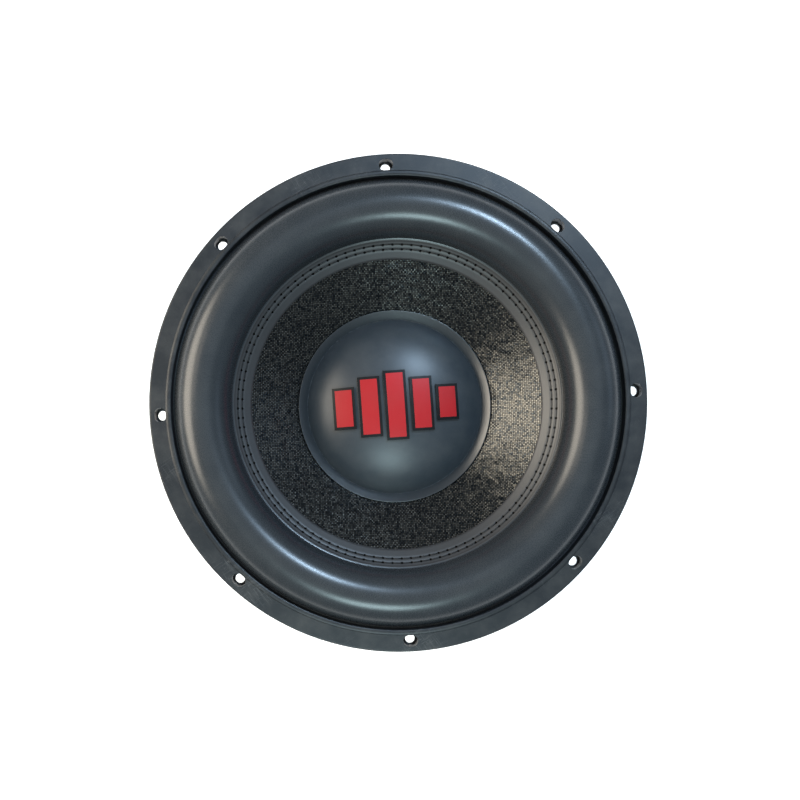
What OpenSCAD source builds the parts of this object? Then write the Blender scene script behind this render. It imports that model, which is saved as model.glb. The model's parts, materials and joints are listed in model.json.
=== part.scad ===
// Twelve-inch car subwoofer driver with a stitched surround, a double magnet and two push-terminal pairs.
// Sizes are in millimetres. +Z points out of the cone, and z = 0 is the flange face that seats on a baffle.

/* [Flange and trim ring] */
// Overall diameter of the flange and of the trim ring on it
flange_d = 312; // [260:1:376]
// Width of the flange, from its rim to the wall that drops through the baffle
flange_w = 16; // [15:0.5:20]
// Distance from the rim to the centre of a mounting hole
bolt_inset = 7; // [6:0.5:8]
// Number of mounting holes
bolt_count = 8; // [4:1:12]
// Diameter of a mounting hole in the steel flange
bolt_hole_d = 6; // [4.5:0.1:7]
// Thickness of the trim ring over the flange
trim_h = 7.4; // [5:0.1:10]
// Length of a slot in the trim ring, along the rim
trim_slot_l = 9; // [7.5:0.1:10]
// Width of a slot in the trim ring
trim_slot_w = 7; // [6.2:0.1:7.4]
// Height of the rounded bead round the inside of the trim ring
bead_h = 0.7; // [0.3:0.1:1.5]

/* [Basket] */
// Thickness of the pressed steel
sheet_t = 1.6; // [1.2:0.1:2.4]
// Height of the straight wall under the flange
rim_wall_h = 16; // [12:0.5:20]
// Number of legs, and of windows between them
leg_count = 6; // [4:1:8]
// Width of a leg, across its middle
leg_w = 36; // [30:1:44]
// Corner radius of a window
window_r = 8; // [4:0.5:10]
// Height of the lip round the spider's seat
shelf_lip_h = 10; // [6:0.5:14]
// Depth from the spider's seat to the magnet
well_h = 24; // [20:0.5:32]
// Number of small vents under the spider
vent_count = 12; // [6:1:16]

/* [Surround and cone] */
// Thickness of the surround
surround_t = 1.2; // [0.8:0.1:1.6]
// Width of the surround's half roll
roll_w = 34.4; // [28:0.2:42]
// Width of the sewn band where the surround lies on the cone
band_w = 12; // [9:0.5:15]
// Slope of the cone
cone_angle = 37; // [30:0.5:42]
// Thickness of the cone
cone_t = 1; // [0.7:0.1:1.4]
// Stitches in one row
stitch_count = 104; // [80:1:150]
// Distance between the two rows of stitches
stitch_gap = 2.6; // [2:0.1:3.5]

/* [Dust cap and badge] */
// Overall diameter of the dust cap
cap_d = 129; // [104:1:150]
// Width of the dust cap's rim that is glued to the cone
cap_rim_w = 6; // [4:0.5:8]
// Rise of the dome
dome_h = 20; // [12:0.5:26]
// Thickness of the dust cap
cap_t = 1.2; // [0.8:0.1:1.6]
// Width of a bar in the badge
bar_w = 11; // [8:0.5:12]
// Gap between two bars
bar_gap = 6; // [5:0.5:8]
// Black border round each bar
badge_border_w = 1.8; // [1:0.1:2.2]

/* [Voice coil and spiders] */
// Outside diameter of the coil former
former_d = 66.2; // [54:0.2:80]
// Wall of the coil former
former_t = 0.5; // [0.3:0.05:0.8]
// Length of the wound part
winding_h = 30; // [24:1:38]
// Thickness of one voice coil, of two layers
winding_t = 0.8; // [0.5:0.05:1.1]
// Furthest that the cone travels each way
stroke = 14; // [8:0.5:16]
// Outside diameter of the spiders
spider_d = 190; // [160:1:229]
// Thickness of a spider's cloth
spider_t = 0.8; // [0.5:0.1:1.1]
// Height of the ring between the two spiders
spacer_h = 12; // [9:0.5:16]
// Number of rolls across a spider
spider_rolls = 5; // [4:1:7]

/* [Motor] */
// Outside diameter of each magnet
magnet_d = 156; // [130:1:188]
// Thickness of each magnet
magnet_h = 20; // [16:0.5:26]
// Thickness of the top plate, which is the height of the magnetic gap
plate_h = 10; // [8:0.5:13]
// Thickness of the back plate
back_plate_h = 10; // [8:0.5:13]
// Diameter of the vent through the pole
vent_d = 28; // [20:1:34]
// Wall of the rubber boot
boot_t = 3; // [2:0.25:4]

/* [Terminals] */
// Distance between the two posts of a terminal pair
post_pitch = 20; // [16:0.5:24]
// Diameter of the hole that takes a bare wire
wire_hole_d = 3.8; // [2.5:0.1:4.2]
// Travel of a push button
press = 3; // [2:0.1:3.2]
// Diameter of a tinsel lead
lead_d = 2.4; // [1.6:0.1:3]

/* [Hidden] */
$fn = 96;
SIDES = ["left", "right"];
POLES = ["positive", "negative"];
POST_KINDS = ["barrel", "plunger", "button", "spring", "lug", "lead"];

// Clearances
glue_gap = 0.3;      // between pieces that are bonded side by side
seat_gap = 2;        // round a spider, clear of the rounded corner of its seat
coil_gap = 0.6;      // between the coil assembly and the steel on each side of it
slide_gap = 0.1;     // round a plunger in its barrel
guide_gap = 0.3;     // between a button's skirt and its barrel
cut = 1;             // overshoot of a cutting tool
arc_steps = 6;       // flats in a small bend of a pressed profile

// Flange
flange_r = flange_d / 2;
spigot_r = flange_r - flange_w;
bolt_circle_r = flange_r - bolt_inset;
trim_top = sheet_t + trim_h;
trim_inner_r = spigot_r + 2;
band_seat_r = bolt_circle_r - bolt_hole_d / 2 - 1;
trim_fillet = 1.2;
bead_w = 3.4;

// Surround
roll_r = roll_w / 2;
roll_z = sheet_t + surround_t / 2;
roll_outer_r = spigot_r;
roll_inner_r = roll_outer_r - roll_w;
roll_mid_r = roll_outer_r - roll_r;
roll_steps = 28;
bend_r = 1.4;
slope = tan(cone_angle);

// Cone: its front face passes through cone_edge_z at cone_r
cone_r = roll_inner_r - 1.1;
cone_edge_z = -1;
function cone_z(r) = cone_edge_z + (r - cone_r) * slope;
function above_cone(r, d) = cone_z(r) + d / cos(cone_angle);
band_inner_r = roll_inner_r - band_w;
stitch_mid_r = (roll_inner_r + band_inner_r) / 2 + 0.6;
stitch_r = 0.4;
stitch_fill = 0.68;

// Voice coil
former_r = former_d / 2;
former_in_r = former_r - former_t;
collar_t = 0.8;
collar_r = former_r + collar_t;
neck_r = collar_r + glue_gap / 2;
neck_z = cone_z(neck_r);
coil_r = former_r + 2 * winding_t;

// Spiders, basket seats and motor, each hung from the one above it
spider_r = spider_d / 2;
spider_land = 12.5;
spider_wave = 2.4;
neck_drop = 6;
upper_spider_z = neck_z - neck_drop;
lower_spider_z = upper_spider_z - spacer_h - spider_t;
shelf_z = lower_spider_z - spider_t / 2;
shelf_r = spider_r + seat_gap;
shelf_in_r = spider_r - spider_land - 2.5;
seat_z = shelf_z - well_h;
plate_inset = 3;
plate_r = magnet_d / 2 - plate_inset;
pole_r = former_in_r - coil_gap;
gap_r = coil_r + coil_gap;
seat_r = plate_r - 2;
seat_bore_r = gap_r + 3;
plate_z = seat_z - plate_h;
magnet_r = magnet_d / 2;
magnet_bore_r = gap_r + 6;
back_plate_z = plate_z - 2 * magnet_h;
base_z = back_plate_z - back_plate_h;
pole_rise = 3;
winding_z = seat_z - plate_h / 2 - winding_h / 2;
former_z = winding_z - 2;
former_top = neck_z + 3.4;
collar_z = winding_z + winding_h + 2;
collar_top = neck_z - 2.6;
boot_gap = 0.25;
boot_lip = 2;
boot_lip_r = plate_r - 11;
boot_top = plate_z + 2.5;
screen_r = vent_d / 2 + 3;
screen_t = 0.8;
screen_depth = 1.4;
screen_hole_d = 2.4;
screen_pitch = 3.6;
screw_count = 6;
screw_d = 4;
screw_circle_r = (seat_bore_r + seat_r) / 2;
screw_l = 8;

// Basket profile: the middle of the sheet, from the rim inwards and down
leg_top = [spigot_r - sheet_t / 2, -rim_wall_h];
leg_foot = [shelf_r + sheet_t / 2, shelf_z + shelf_lip_h];
leg_angle = atan2(leg_top.y - leg_foot.y, leg_top.x - leg_foot.x);
leg_l = norm(leg_top - leg_foot);
window_margin = 5.5;
rib_r = 3;
vent_w = 16;
vent_h = 9;

// Terminals, on two opposite legs. Their own z axis stands square to the leg.
terminal_at = 0.7;
pad_h = 1.4;
pad_l = 24;
pad_w = leg_w + 8;
base_l = 20;
base_w = post_pitch + 22;
base_h = 3;
lug_t = 0.8;
lug_w = 5;
lug_x = -6.4;
lug_tail = 12;
lug_slot_gap = 0.4;
barrel_z = pad_h + base_h + lug_t;
barrel_r = 4.6;
barrel_wall = 1.9;
relief_wall = 1.3;      // what is left of the wall round the wire holes
barrel_h = 11;
barrel_floor = 1;
wire_z = barrel_floor + wire_hole_d / 2 + 1.3;
plunger_r = barrel_r - barrel_wall - slide_gap;
plunger_foot = barrel_floor + press + 0.3;
spring_h = 6.5;
spring_wire_d = 0.6;
spring_turns = 4;
spring_r = plunger_r + 0.8;
button_in_r = barrel_r + guide_gap;
button_r = button_in_r + 1.2;
button_skirt_z = wire_z + wire_hole_d / 2 + press + 0.2;
button_top_t = 1.5;
button_socket = 0.7;
ceiling_z = barrel_h + spring_h;
rivet_r = 1.6;
rivet_x = 0;
rivet_y = post_pitch / 2 + 8;

// Badge: heights of its bars
bar_heights = [24, 36, 42, 32, 20];
badge_turn = 4;
badge_t = 1.8;
badge_face_t = 0.5;
dome_edge = 76;      // how far round its ellipse the dome runs, in degrees
dome_steps = 24;

// ---- profiles ----

function unit(v) = v / norm(v);
function left(v) = [-v.y, v.x];

// Points of an arc of radius r that rounds the corner b between a and c
function bend(a, b, c, r) =
    let (p = unit(a - b), q = unit(c - b), half = acos(p * q) / 2, turn = 180 - 2 * half,
         middle = b + unit(p + q) * r / sin(half),
         from = b + p * r / tan(half) - middle, to = b + q * r / tan(half) - middle)
    [for (k = [0 : arc_steps]) let (w = k / arc_steps)
        middle + (from * sin((1 - w) * turn) + to * sin(w * turn)) / sin(turn)];

// A chain of points with every corner between its ends rounded
function bent(points, r) =
    let (last = len(points) - 1)
    concat([points[0]],
           [for (i = [1 : last - 1]) each bend(points[i - 1], points[i], points[i + 1], r)],
           [points[last]]);

// How far a sheet's face stands from point i of its middle line, for a thickness of 2
function mitre(points, i) =
    let (last = len(points) - 1,
         a = left(unit(points[max(i, 1)] - points[max(i, 1) - 1])),
         b = left(unit(points[min(i, last - 1) + 1] - points[min(i, last - 1)])))
    (a + b) / (1 + a * b);

// Outline of a sheet of thickness t along a middle line
function sheet(points, t) =
    let (last = len(points) - 1)
    concat([for (i = [0 : last]) points[i] + mitre(points, i) * t / 2],
           [for (i = [last : -1 : 0]) points[i] - mitre(points, i) * t / 2]);

// Points on an arc from angle a to angle b
function arc(middle, r, a, b, steps) =
    [for (k = [0 : steps]) middle + r * [cos(a + (b - a) * k / steps), sin(a + (b - a) * k / steps)]];

module turned(points) {
    rotate_extrude() polygon(points);
}

module ring(outer_r, inner_r, z, h) {
    translate([0, 0, z])
    difference() {
        cylinder(r = outer_r, h = h);
        translate([0, 0, -cut]) cylinder(r = inner_r, h = h + 2 * cut);
    }
}

// ---- swept tubes ----

// A ring of points round p, square to the direction d
function hoop(p, d, r, sides) =
    let (u = unit(cross(d, [0, 0, 1])), v = unit(cross(d, u)))
    [for (k = [0 : sides - 1]) p + r * (cos(360 * k / sides) * u + sin(360 * k / sides) * v)];

module tube(path, r, sides) {
    last = len(path) - 1;
    hoops = [for (i = [0 : last])
        each hoop(path[i], path[min(i + 1, last)] - path[max(i - 1, 0)], r, sides)];
    walls = [for (i = [0 : last - 1], k = [0 : sides - 1])
        let (a = i * sides, n = (k + 1) % sides)
        each [[a + k, a + n, a + sides + n], [a + k, a + sides + n, a + sides + k]]];
    start_cap = [for (k = [1 : sides - 2]) [0, k + 1, k]];
    end_cap = [for (k = [1 : sides - 2]) [last * sides, last * sides + k, last * sides + k + 1]];
    polyhedron(points = hoops, faces = concat(walls, start_cap, end_cap));
}

// ---- basket and trim ring ----

basket_line = bent([
    [flange_r, sheet_t / 2],
    [spigot_r - sheet_t / 2, sheet_t / 2],
    leg_top,
    leg_foot,
    [shelf_r + sheet_t / 2, shelf_z - sheet_t / 2],
    [shelf_in_r, shelf_z - sheet_t / 2],
    [seat_r, seat_z + sheet_t / 2],
    [seat_bore_r, seat_z + sheet_t / 2]], 2.6);

// Puts a child at a share of the way down a leg, on the outer face, with its z axis standing square to the leg
module on_leg(turn, share, out = sheet_t / 2) {
    spot = leg_top + (leg_foot - leg_top) * share;
    rotate([0, 0, turn])
    translate([spot.x, 0, spot.y])
    rotate([0, 180 - leg_angle, 0])
    translate([0, 0, out])
    children();
}

module leg_band(share_a, share_b, turn_a, turn_b) {
    a = leg_top + (leg_foot - leg_top) * share_a;
    b = leg_top + (leg_foot - leg_top) * share_b;
    out = 4 * sheet_t * [sin(leg_angle), -cos(leg_angle)];
    rotate([0, 0, turn_a])
    rotate_extrude(angle = turn_b - turn_a)
    polygon([a + out, a - out, b - out, b + out]);
}

module window(turn) {
    top = window_margin / leg_l;
    foot = 1 - top;
    step = window_r / leg_l;
    mid_r = (leg_top.x + leg_foot.x) / 2;
    half = 180 / leg_count - asin(leg_w / 2 / mid_r);
    inset = 2 * asin(window_r / 2 / mid_r);
    leg_band(top + step, foot - step, turn - half, turn + half);
    leg_band(top, foot, turn - half + inset, turn + half - inset);
    for (side = [-1, 1], share = [top + step, foot - step]) {
        r = leg_top.x + (leg_foot.x - leg_top.x) * share;
        corner = half - asin(window_r / r);
        on_leg(turn + side * corner, share, -4 * sheet_t)
            cylinder(r = window_r * 0.985, h = 8 * sheet_t);
    }
}

module leg_rib(turn) {
    rib_l = leg_l - 4 * window_margin;
    on_leg(turn, 0.5, 0)
    translate([-rib_l / 2, 0, 0]) {
        rotate([0, 90, 0]) cylinder(r = rib_r, h = rib_l);
        sphere(r = rib_r);
        translate([rib_l, 0, 0]) sphere(r = rib_r);
    }
}

module bolt_holes(r, h) {
    for (k = [0 : bolt_count - 1])
        rotate([0, 0, bolt_turn(k)])
        translate([bolt_circle_r, 0, -cut])
        cylinder(r = r, h = h + 2 * cut);
}

function bolt_turn(k) = 360 / bolt_count * k + 3;
function leg_turn(k) = 360 / leg_count * k;
function side_turn(side) = side == "left" ? 180 : 0;
function pole_y(pole) = (pole == "positive" ? -1 : 1) * post_pitch / 2;

module basket() {
    color([0.09, 0.09, 0.1])
    difference() {
        union() {
            turned(sheet(basket_line, sheet_t));
            for (k = [0 : leg_count - 1])
                if (leg_turn(k) % 180 != 0) leg_rib(leg_turn(k));
            for (side = SIDES)
                on_leg(side_turn(side), terminal_at, -sheet_t)
                translate([-pad_l / 2, -pad_w / 2, 0])
                cube([pad_l, pad_w, sheet_t * 1.5 + pad_h]);
        }
        for (k = [0 : leg_count - 1]) window(leg_turn(k + 0.5));
        for (k = [0 : vent_count - 1])
            rotate([0, 0, 360 / vent_count * (k + 0.5)])
            translate([(shelf_in_r + seat_r) / 2, 0, (shelf_z + seat_z) / 2])
            cube([24, vent_w, vent_h], center = true);
        bolt_holes(bolt_hole_d / 2, sheet_t);
        for (side = SIDES) on_leg(side_turn(side), terminal_at) {
            for (pole = POLES)
                translate([lug_x, pole_y(pole), 0])
                cube([lug_t + 2 * lug_slot_gap + 1, lug_w + 2 * lug_slot_gap + 1, 20], center = true);
            for (y = [-rivet_y, rivet_y])
                translate([rivet_x, y, -10]) cylinder(r = rivet_r, h = 20);
        }
        for (k = [0 : screw_count - 1])
            rotate([0, 0, 360 / screw_count * k])
            translate([screw_circle_r, 0, seat_z - cut])
            cylinder(r = screw_d / 2 + 0.1, h = sheet_t + 2 * cut);
    }
}

module trim_ring() {
    fillet = arc([flange_r - trim_fillet, trim_top - trim_fillet], trim_fillet, 0, 90, arc_steps);
    bead_mid = trim_inner_r + bead_w / 2;
    bead = [for (k = [0 : 12]) let (a = 180 * k / 12)
        [bead_mid + bead_w / 2 * cos(a), trim_top + bead_h * sin(a)]];
    color([0.13, 0.14, 0.15])
    difference() {
        turned(concat(
            [[flange_r, sheet_t]], fillet, bead,
            [[trim_inner_r, sheet_t + surround_t],
             [band_seat_r + glue_gap, sheet_t + surround_t],
             [band_seat_r + glue_gap, sheet_t]]));
        for (k = [0 : bolt_count - 1])
            rotate([0, 0, bolt_turn(k)])
            translate([bolt_circle_r, 0, 0]) {
                for (y = [-1, 1])
                    translate([0, y * (trim_slot_l - trim_slot_w) / 2, 0])
                    cylinder(r = trim_slot_w / 2, h = trim_top + cut);
                translate([0, 0, (trim_top + cut) / 2])
                cube([trim_slot_w, trim_slot_l - trim_slot_w, trim_top + cut], center = true);
            }
    }
}

// ---- surround, cone and dust cap ----

module surround() {
    foot_z = above_cone(roll_inner_r, glue_gap + surround_t / 2);
    band_z = above_cone(band_inner_r, glue_gap + surround_t / 2);
    outer_foot = [roll_outer_r, roll_z];
    roll = arc([roll_mid_r, roll_z], roll_r, 8, 172, roll_steps);
    line = concat(
        [[band_seat_r, roll_z]],
        bend([band_seat_r, roll_z], outer_foot, roll[0], bend_r / 2),
        roll,
        bend(roll[roll_steps], [roll_inner_r, foot_z], [band_inner_r, band_z], bend_r / 2),
        [[band_inner_r, band_z]]);
    color([0.16, 0.17, 0.18])
    turned(sheet(line, surround_t));
}

module surround_stitching() {
    color([0.05, 0.05, 0.06])
    for (row = [-1, 1], k = [0 : stitch_count - 1]) {
        r = stitch_mid_r + row * stitch_gap / 2;
        stitch_l = 2 * PI * r / stitch_count * stitch_fill;
        rotate([0, 0, 360 / stitch_count * k])
        translate([r, 0, above_cone(r, glue_gap + surround_t + stitch_r + 0.1)])
        rotate([90, 0, 0])
        cylinder(r = stitch_r, h = stitch_l, center = true);
    }
}

module cone() {
    drop = cone_t / cos(cone_angle);
    color([0.1, 0.1, 0.11])
    turned([
        [cone_r, cone_z(cone_r)],
        [neck_r, neck_z],
        [neck_r, neck_z - drop],
        [cone_r, cone_z(cone_r) - drop]]);
}

cap_r = cap_d / 2;
dome_r = cap_r - cap_rim_w;
dome_a = dome_r / sin(dome_edge);
dome_b = dome_h / (1 - cos(dome_edge));
dome_foot_z = above_cone(dome_r, cap_t / 2);

// A point of the dome, lifted by d, at angle t round its ellipse from the top
function dome_point(t, d) =
    let (out = unit([sin(t) / dome_a, cos(t) / dome_b]))
    [dome_a * sin(t), dome_foot_z + dome_b * (cos(t) - cos(dome_edge))] + d * out;

function dome_line(d) = [for (k = [dome_steps : -1 : 0]) dome_point(dome_edge * k / dome_steps, d)];

module dust_cap() {
    under = dome_line(-cap_t / 2);
    color([0.12, 0.14, 0.16])
    turned(concat(
        [[cap_r, above_cone(cap_r, cap_t)]],
        dome_line(cap_t / 2),
        [for (k = [dome_steps : -1 : 0]) under[k]],
        [[dome_r - cap_t, above_cone(dome_r - cap_t, 0)],
         [cap_r, above_cone(cap_r, 0)]]));
}

// The space between two heights over the dome
module over_dome(low, high) {
    top = dome_line(high);
    foot = dome_line(low);
    turned(concat(top, [for (k = [dome_steps : -1 : 0]) foot[k]]));
}

module bars(grow) {
    pitch = bar_w + bar_gap;
    count = len(bar_heights);
    rotate(badge_turn)
    for (k = [0 : count - 1])
        translate([(k - (count - 1) / 2) * pitch, 0])
        square([bar_w + 2 * grow, bar_heights[k] + 2 * grow], center = true);
}

module badge_border() {
    color([0.03, 0.03, 0.03])
    intersection() {
        over_dome(cap_t / 2, cap_t / 2 + badge_t);
        translate([0, 0, dome_foot_z - 10]) linear_extrude(height = dome_h + 20) bars(badge_border_w);
    }
}

module badge_face() {
    color([0.75, 0.08, 0.1])
    intersection() {
        over_dome(cap_t / 2 + badge_t, cap_t / 2 + badge_t + badge_face_t);
        translate([0, 0, dome_foot_z - 10]) linear_extrude(height = dome_h + 20) bars(0);
    }
}

// ---- voice coil and spiders ----

module coil_former() {
    color([0.75, 0.72, 0.62]) ring(former_r, former_in_r, former_z, former_top - former_z);
}

module former_collar() {
    color([0.35, 0.25, 0.16]) ring(collar_r, former_r, collar_z, collar_top - collar_z);
}

module coil_winding(layer) {
    color([0.72, 0.36, 0.16])
    ring(former_r + (layer + 1) * winding_t, former_r + layer * winding_t, winding_z, winding_h);
}

module spider(z) {
    inner_r = collar_r + glue_gap;
    wave_from = inner_r + 4;
    wave_to = spider_r - spider_land;
    waves = [for (k = [spider_rolls * 12 : -1 : 0])
        [wave_from + (wave_to - wave_from) * k / (spider_rolls * 12), z - spider_wave * sin(30 * k)]];
    color([0.12, 0.11, 0.1])
    turned(sheet(concat([[spider_r, z]], waves, [[inner_r, z]]), spider_t));
}

module spider_spacer() {
    color([0.2, 0.17, 0.14])
    ring(spider_r, spider_r - spider_land + 1, lower_spider_z + spider_t / 2, spacer_h);
}

// ---- motor ----

module top_plate() {
    color([0.12, 0.12, 0.13])
    difference() {
        ring(plate_r, gap_r, plate_z, plate_h);
        for (k = [0 : screw_count - 1])
            rotate([0, 0, 360 / screw_count * k])
            translate([screw_circle_r, 0, seat_z - screw_l])
            cylinder(r = screw_d / 2 + 0.05, h = screw_l + cut);
    }
}

module magnet(level) {
    color([0.22, 0.22, 0.23]) ring(magnet_r, magnet_bore_r, plate_z - level * magnet_h, magnet_h);
}

module yoke() {
    vent_r = vent_d / 2;
    pole_top = seat_z + pole_rise;
    color([0.5, 0.5, 0.52])
    turned([
        [plate_r, base_z],
        [plate_r, back_plate_z],
        [pole_r, back_plate_z],
        [pole_r, pole_top - 1],
        [pole_r - 1, pole_top],
        [vent_r + 1, pole_top],
        [vent_r, pole_top - 1],
        [vent_r, base_z + screen_depth],
        [screen_r, base_z + screen_depth],
        [screen_r, base_z]]);
}

module magnet_boot() {
    outer_r = magnet_r + boot_gap + boot_t;
    fillet = 2;
    color([0.07, 0.07, 0.07])
    turned(concat(
        [[plate_r + boot_gap, boot_top]],
        [[plate_r + boot_gap, plate_z],
         [magnet_r + boot_gap, plate_z],
         [magnet_r + boot_gap, back_plate_z],
         [plate_r + boot_gap, back_plate_z],
         [plate_r + boot_gap, base_z],
         [boot_lip_r, base_z],
         [boot_lip_r, base_z - boot_lip]],
        arc([outer_r - fillet, base_z - boot_lip + fillet], fillet, -90, 0, arc_steps),
        arc([outer_r - fillet, boot_top - fillet], fillet, 0, 90, arc_steps)));
}

module vent_screen() {
    hole_r = screen_hole_d / 2;
    reach = floor((screen_r - hole_r - 1.5) / screen_pitch);
    color([0.3, 0.3, 0.31])
    translate([0, 0, base_z + screen_depth - screen_t])
    difference() {
        cylinder(r = screen_r - 0.1, h = screen_t);
        for (i = [-reach : reach], j = [-reach : reach]) {
            x = screen_pitch * (i + j / 2);
            y = screen_pitch * j * sin(60);
            if (norm([x, y]) < vent_d / 2 - hole_r)
                translate([x, y, -cut]) cylinder(r = hole_r, h = screen_t + 2 * cut);
        }
    }
}

module plate_screws() {
    head_r = screw_d * 0.95;
    color([0.6, 0.6, 0.62])
    for (k = [0 : screw_count - 1])
        rotate([0, 0, 360 / screw_count * k])
        translate([screw_circle_r, 0, 0])
        difference() {
            union() {
                translate([0, 0, seat_z - screw_l + 0.5])
                    cylinder(r = screw_d / 2, h = screw_l + sheet_t);
                translate([0, 0, seat_z + sheet_t]) cylinder(r = head_r, h = 2.6);
            }
            translate([0, 0, seat_z + sheet_t + 1.2]) cylinder(r = 1.5, h = 3, $fn = 6);
        }
}

// ---- terminals and leads ----

module terminal_base(side) {
    color([0.05, 0.05, 0.05])
    on_leg(side_turn(side), terminal_at, sheet_t / 2 + pad_h)
    difference() {
        translate([-base_l / 2, -base_w / 2, 0]) cube([base_l, base_w, base_h]);
        for (pole = POLES)
            translate([lug_x, pole_y(pole), base_h / 2])
            cube([lug_t + lug_slot_gap, lug_w + lug_slot_gap, base_h + 2 * cut], center = true);
        for (y = [-rivet_y, rivet_y])
            translate([rivet_x, y, -cut]) cylinder(r = rivet_r, h = base_h + 2 * cut);
    }
}

module terminal_rivets(side) {
    inner_face = -sheet_t / 2 - sheet_t;
    color([0.7, 0.7, 0.72])
    on_leg(side_turn(side), terminal_at, sheet_t / 2 + pad_h)
    for (y = [-rivet_y, rivet_y])
        translate([rivet_x, y, 0]) {
            translate([0, 0, -pad_h - 2 * sheet_t])
                cylinder(r = rivet_r - 0.05, h = pad_h + 2 * sheet_t + base_h);
            translate([0, 0, base_h]) cylinder(r = rivet_r + 1.2, h = 1);
        }
}

// The frame of one post: on its terminal base, at the foot of its barrel
module at_post(side, pole) {
    on_leg(side_turn(side), terminal_at, sheet_t / 2 + barrel_z)
    translate([0, pole_y(pole), 0])
    children();
}

module wire_hole(z) {
    translate([0, 0, z]) rotate([90, 0, 0])
    cylinder(r = wire_hole_d / 2, h = 4 * barrel_r, center = true);
}

module barrel(side, pole) {
    color([0.72, 0.72, 0.74])
    at_post(side, pole)
    difference() {
        cylinder(r = barrel_r, h = barrel_h);
        translate([0, 0, barrel_floor]) cylinder(r = barrel_r - barrel_wall, h = barrel_h);
        translate([0, 0, wire_z - wire_hole_d / 2 - 0.5])
            cylinder(r = barrel_r - relief_wall, h = wire_hole_d + 1);
        wire_hole(wire_z);
    }
}

module plunger(side, pole) {
    color([0.78, 0.78, 0.8])
    at_post(side, pole)
    difference() {
        translate([0, 0, plunger_foot])
            cylinder(r = plunger_r, h = ceiling_z + button_socket - plunger_foot);
        wire_hole(wire_z + press);
    }
}

module button(side, pole) {
    color(pole == "positive" ? [0.7, 0.06, 0.06] : [0.06, 0.06, 0.06])
    at_post(side, pole)
    difference() {
        translate([0, 0, button_skirt_z])
            cylinder(r = button_r, h = ceiling_z + button_top_t - button_skirt_z);
        translate([0, 0, button_skirt_z - cut])
            cylinder(r = button_in_r, h = ceiling_z - button_skirt_z + cut);
        cylinder(r = plunger_r + 0.02, h = ceiling_z + button_socket);
    }
}

module spring(side, pole) {
    steps = 12;
    low = barrel_h + spring_wire_d / 2 + 0.05;
    rise = spring_h - spring_wire_d - 0.1;
    color([0.75, 0.75, 0.77])
    at_post(side, pole)
    tube([for (k = [0 : spring_turns * steps])
        [spring_r * cos(360 * k / steps), spring_r * sin(360 * k / steps), low + rise * k / spring_turns / steps]],
        spring_wire_d / 2, 6);
}

module lug(side, pole) {
    color([0.8, 0.65, 0.3])
    on_leg(side_turn(side), terminal_at, sheet_t / 2)
    translate([0, pole_y(pole), 0]) {
        translate([lug_x - lug_t / 2, -lug_w / 2, -lug_tail])
            cube([lug_t, lug_w, lug_tail + barrel_z - lug_t]);
        translate([lug_x - lug_t / 2, -lug_w / 2, barrel_z - lug_t])
            cube([barrel_r - lug_x, lug_w, lug_t]);
    }
}

// The end of a lug's tail, where its lead is soldered, in the plane of the lug
function lug_end() =
    let (spot = leg_top + (leg_foot - leg_top) * terminal_at,
         down = [-cos(leg_angle), -sin(leg_angle)], out = [sin(leg_angle), -cos(leg_angle)])
    spot + down * lug_x + out * (sheet_t - lug_tail);

function bezier(p, t) =
    (1 - t) ^ 3 * p[0] + 3 * (1 - t) ^ 2 * t * p[1] + 3 * (1 - t) * t ^ 2 * p[2] + t ^ 3 * p[3];

module lead(side, pole) {
    y = pole_y(pole);
    start = lug_end();
    collar_y = y * 0.6;
    collar_x = sqrt((collar_r + lead_d / 2) ^ 2 - collar_y ^ 2) + lead_d / 2;
    end_z = neck_z - neck_drop / 2 - 0.2;
    steps = 24;
    course = [
        [start.x - lead_d / 2 - 0.2, y, start.y],
        [start.x - 16, y, start.y + 12],
        [collar_x + 16, collar_y, end_z + 2.5],
        [collar_x, collar_y, end_z]];
    color([0.72, 0.6, 0.4])
    rotate([0, 0, side_turn(side)])
    tube([for (k = [0 : steps]) bezier(course, k / steps)], lead_d / 2, 8);
}

basket();
trim_ring();
surround();
surround_stitching();
cone();
dust_cap();
badge_border();
badge_face();
coil_former();
former_collar();
coil_winding(0);  // coil_winding_inner
coil_winding(1);  // coil_winding_outer
spider(upper_spider_z);  // spider_upper
spider(lower_spider_z);  // spider_lower
spider_spacer();
top_plate();
magnet(1);  // magnet_upper
magnet(2);  // magnet_lower
yoke();
magnet_boot();
vent_screen();
plate_screws();
for (s = SIDES) {
    terminal_base(s);
    terminal_rivets(s);
}
for (s = SIDES, p = POLES) {
    barrel(s, p);
    plunger(s, p);
    button(s, p);
    spring(s, p);
    lug(s, p);
    lead(s, p);
}
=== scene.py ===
"""The looks of a twelve-inch car subwoofer driver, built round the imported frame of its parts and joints."""

import json
import logging
import math
from collections.abc import Callable, Sequence
from dataclasses import dataclass
from enum import Enum

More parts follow.
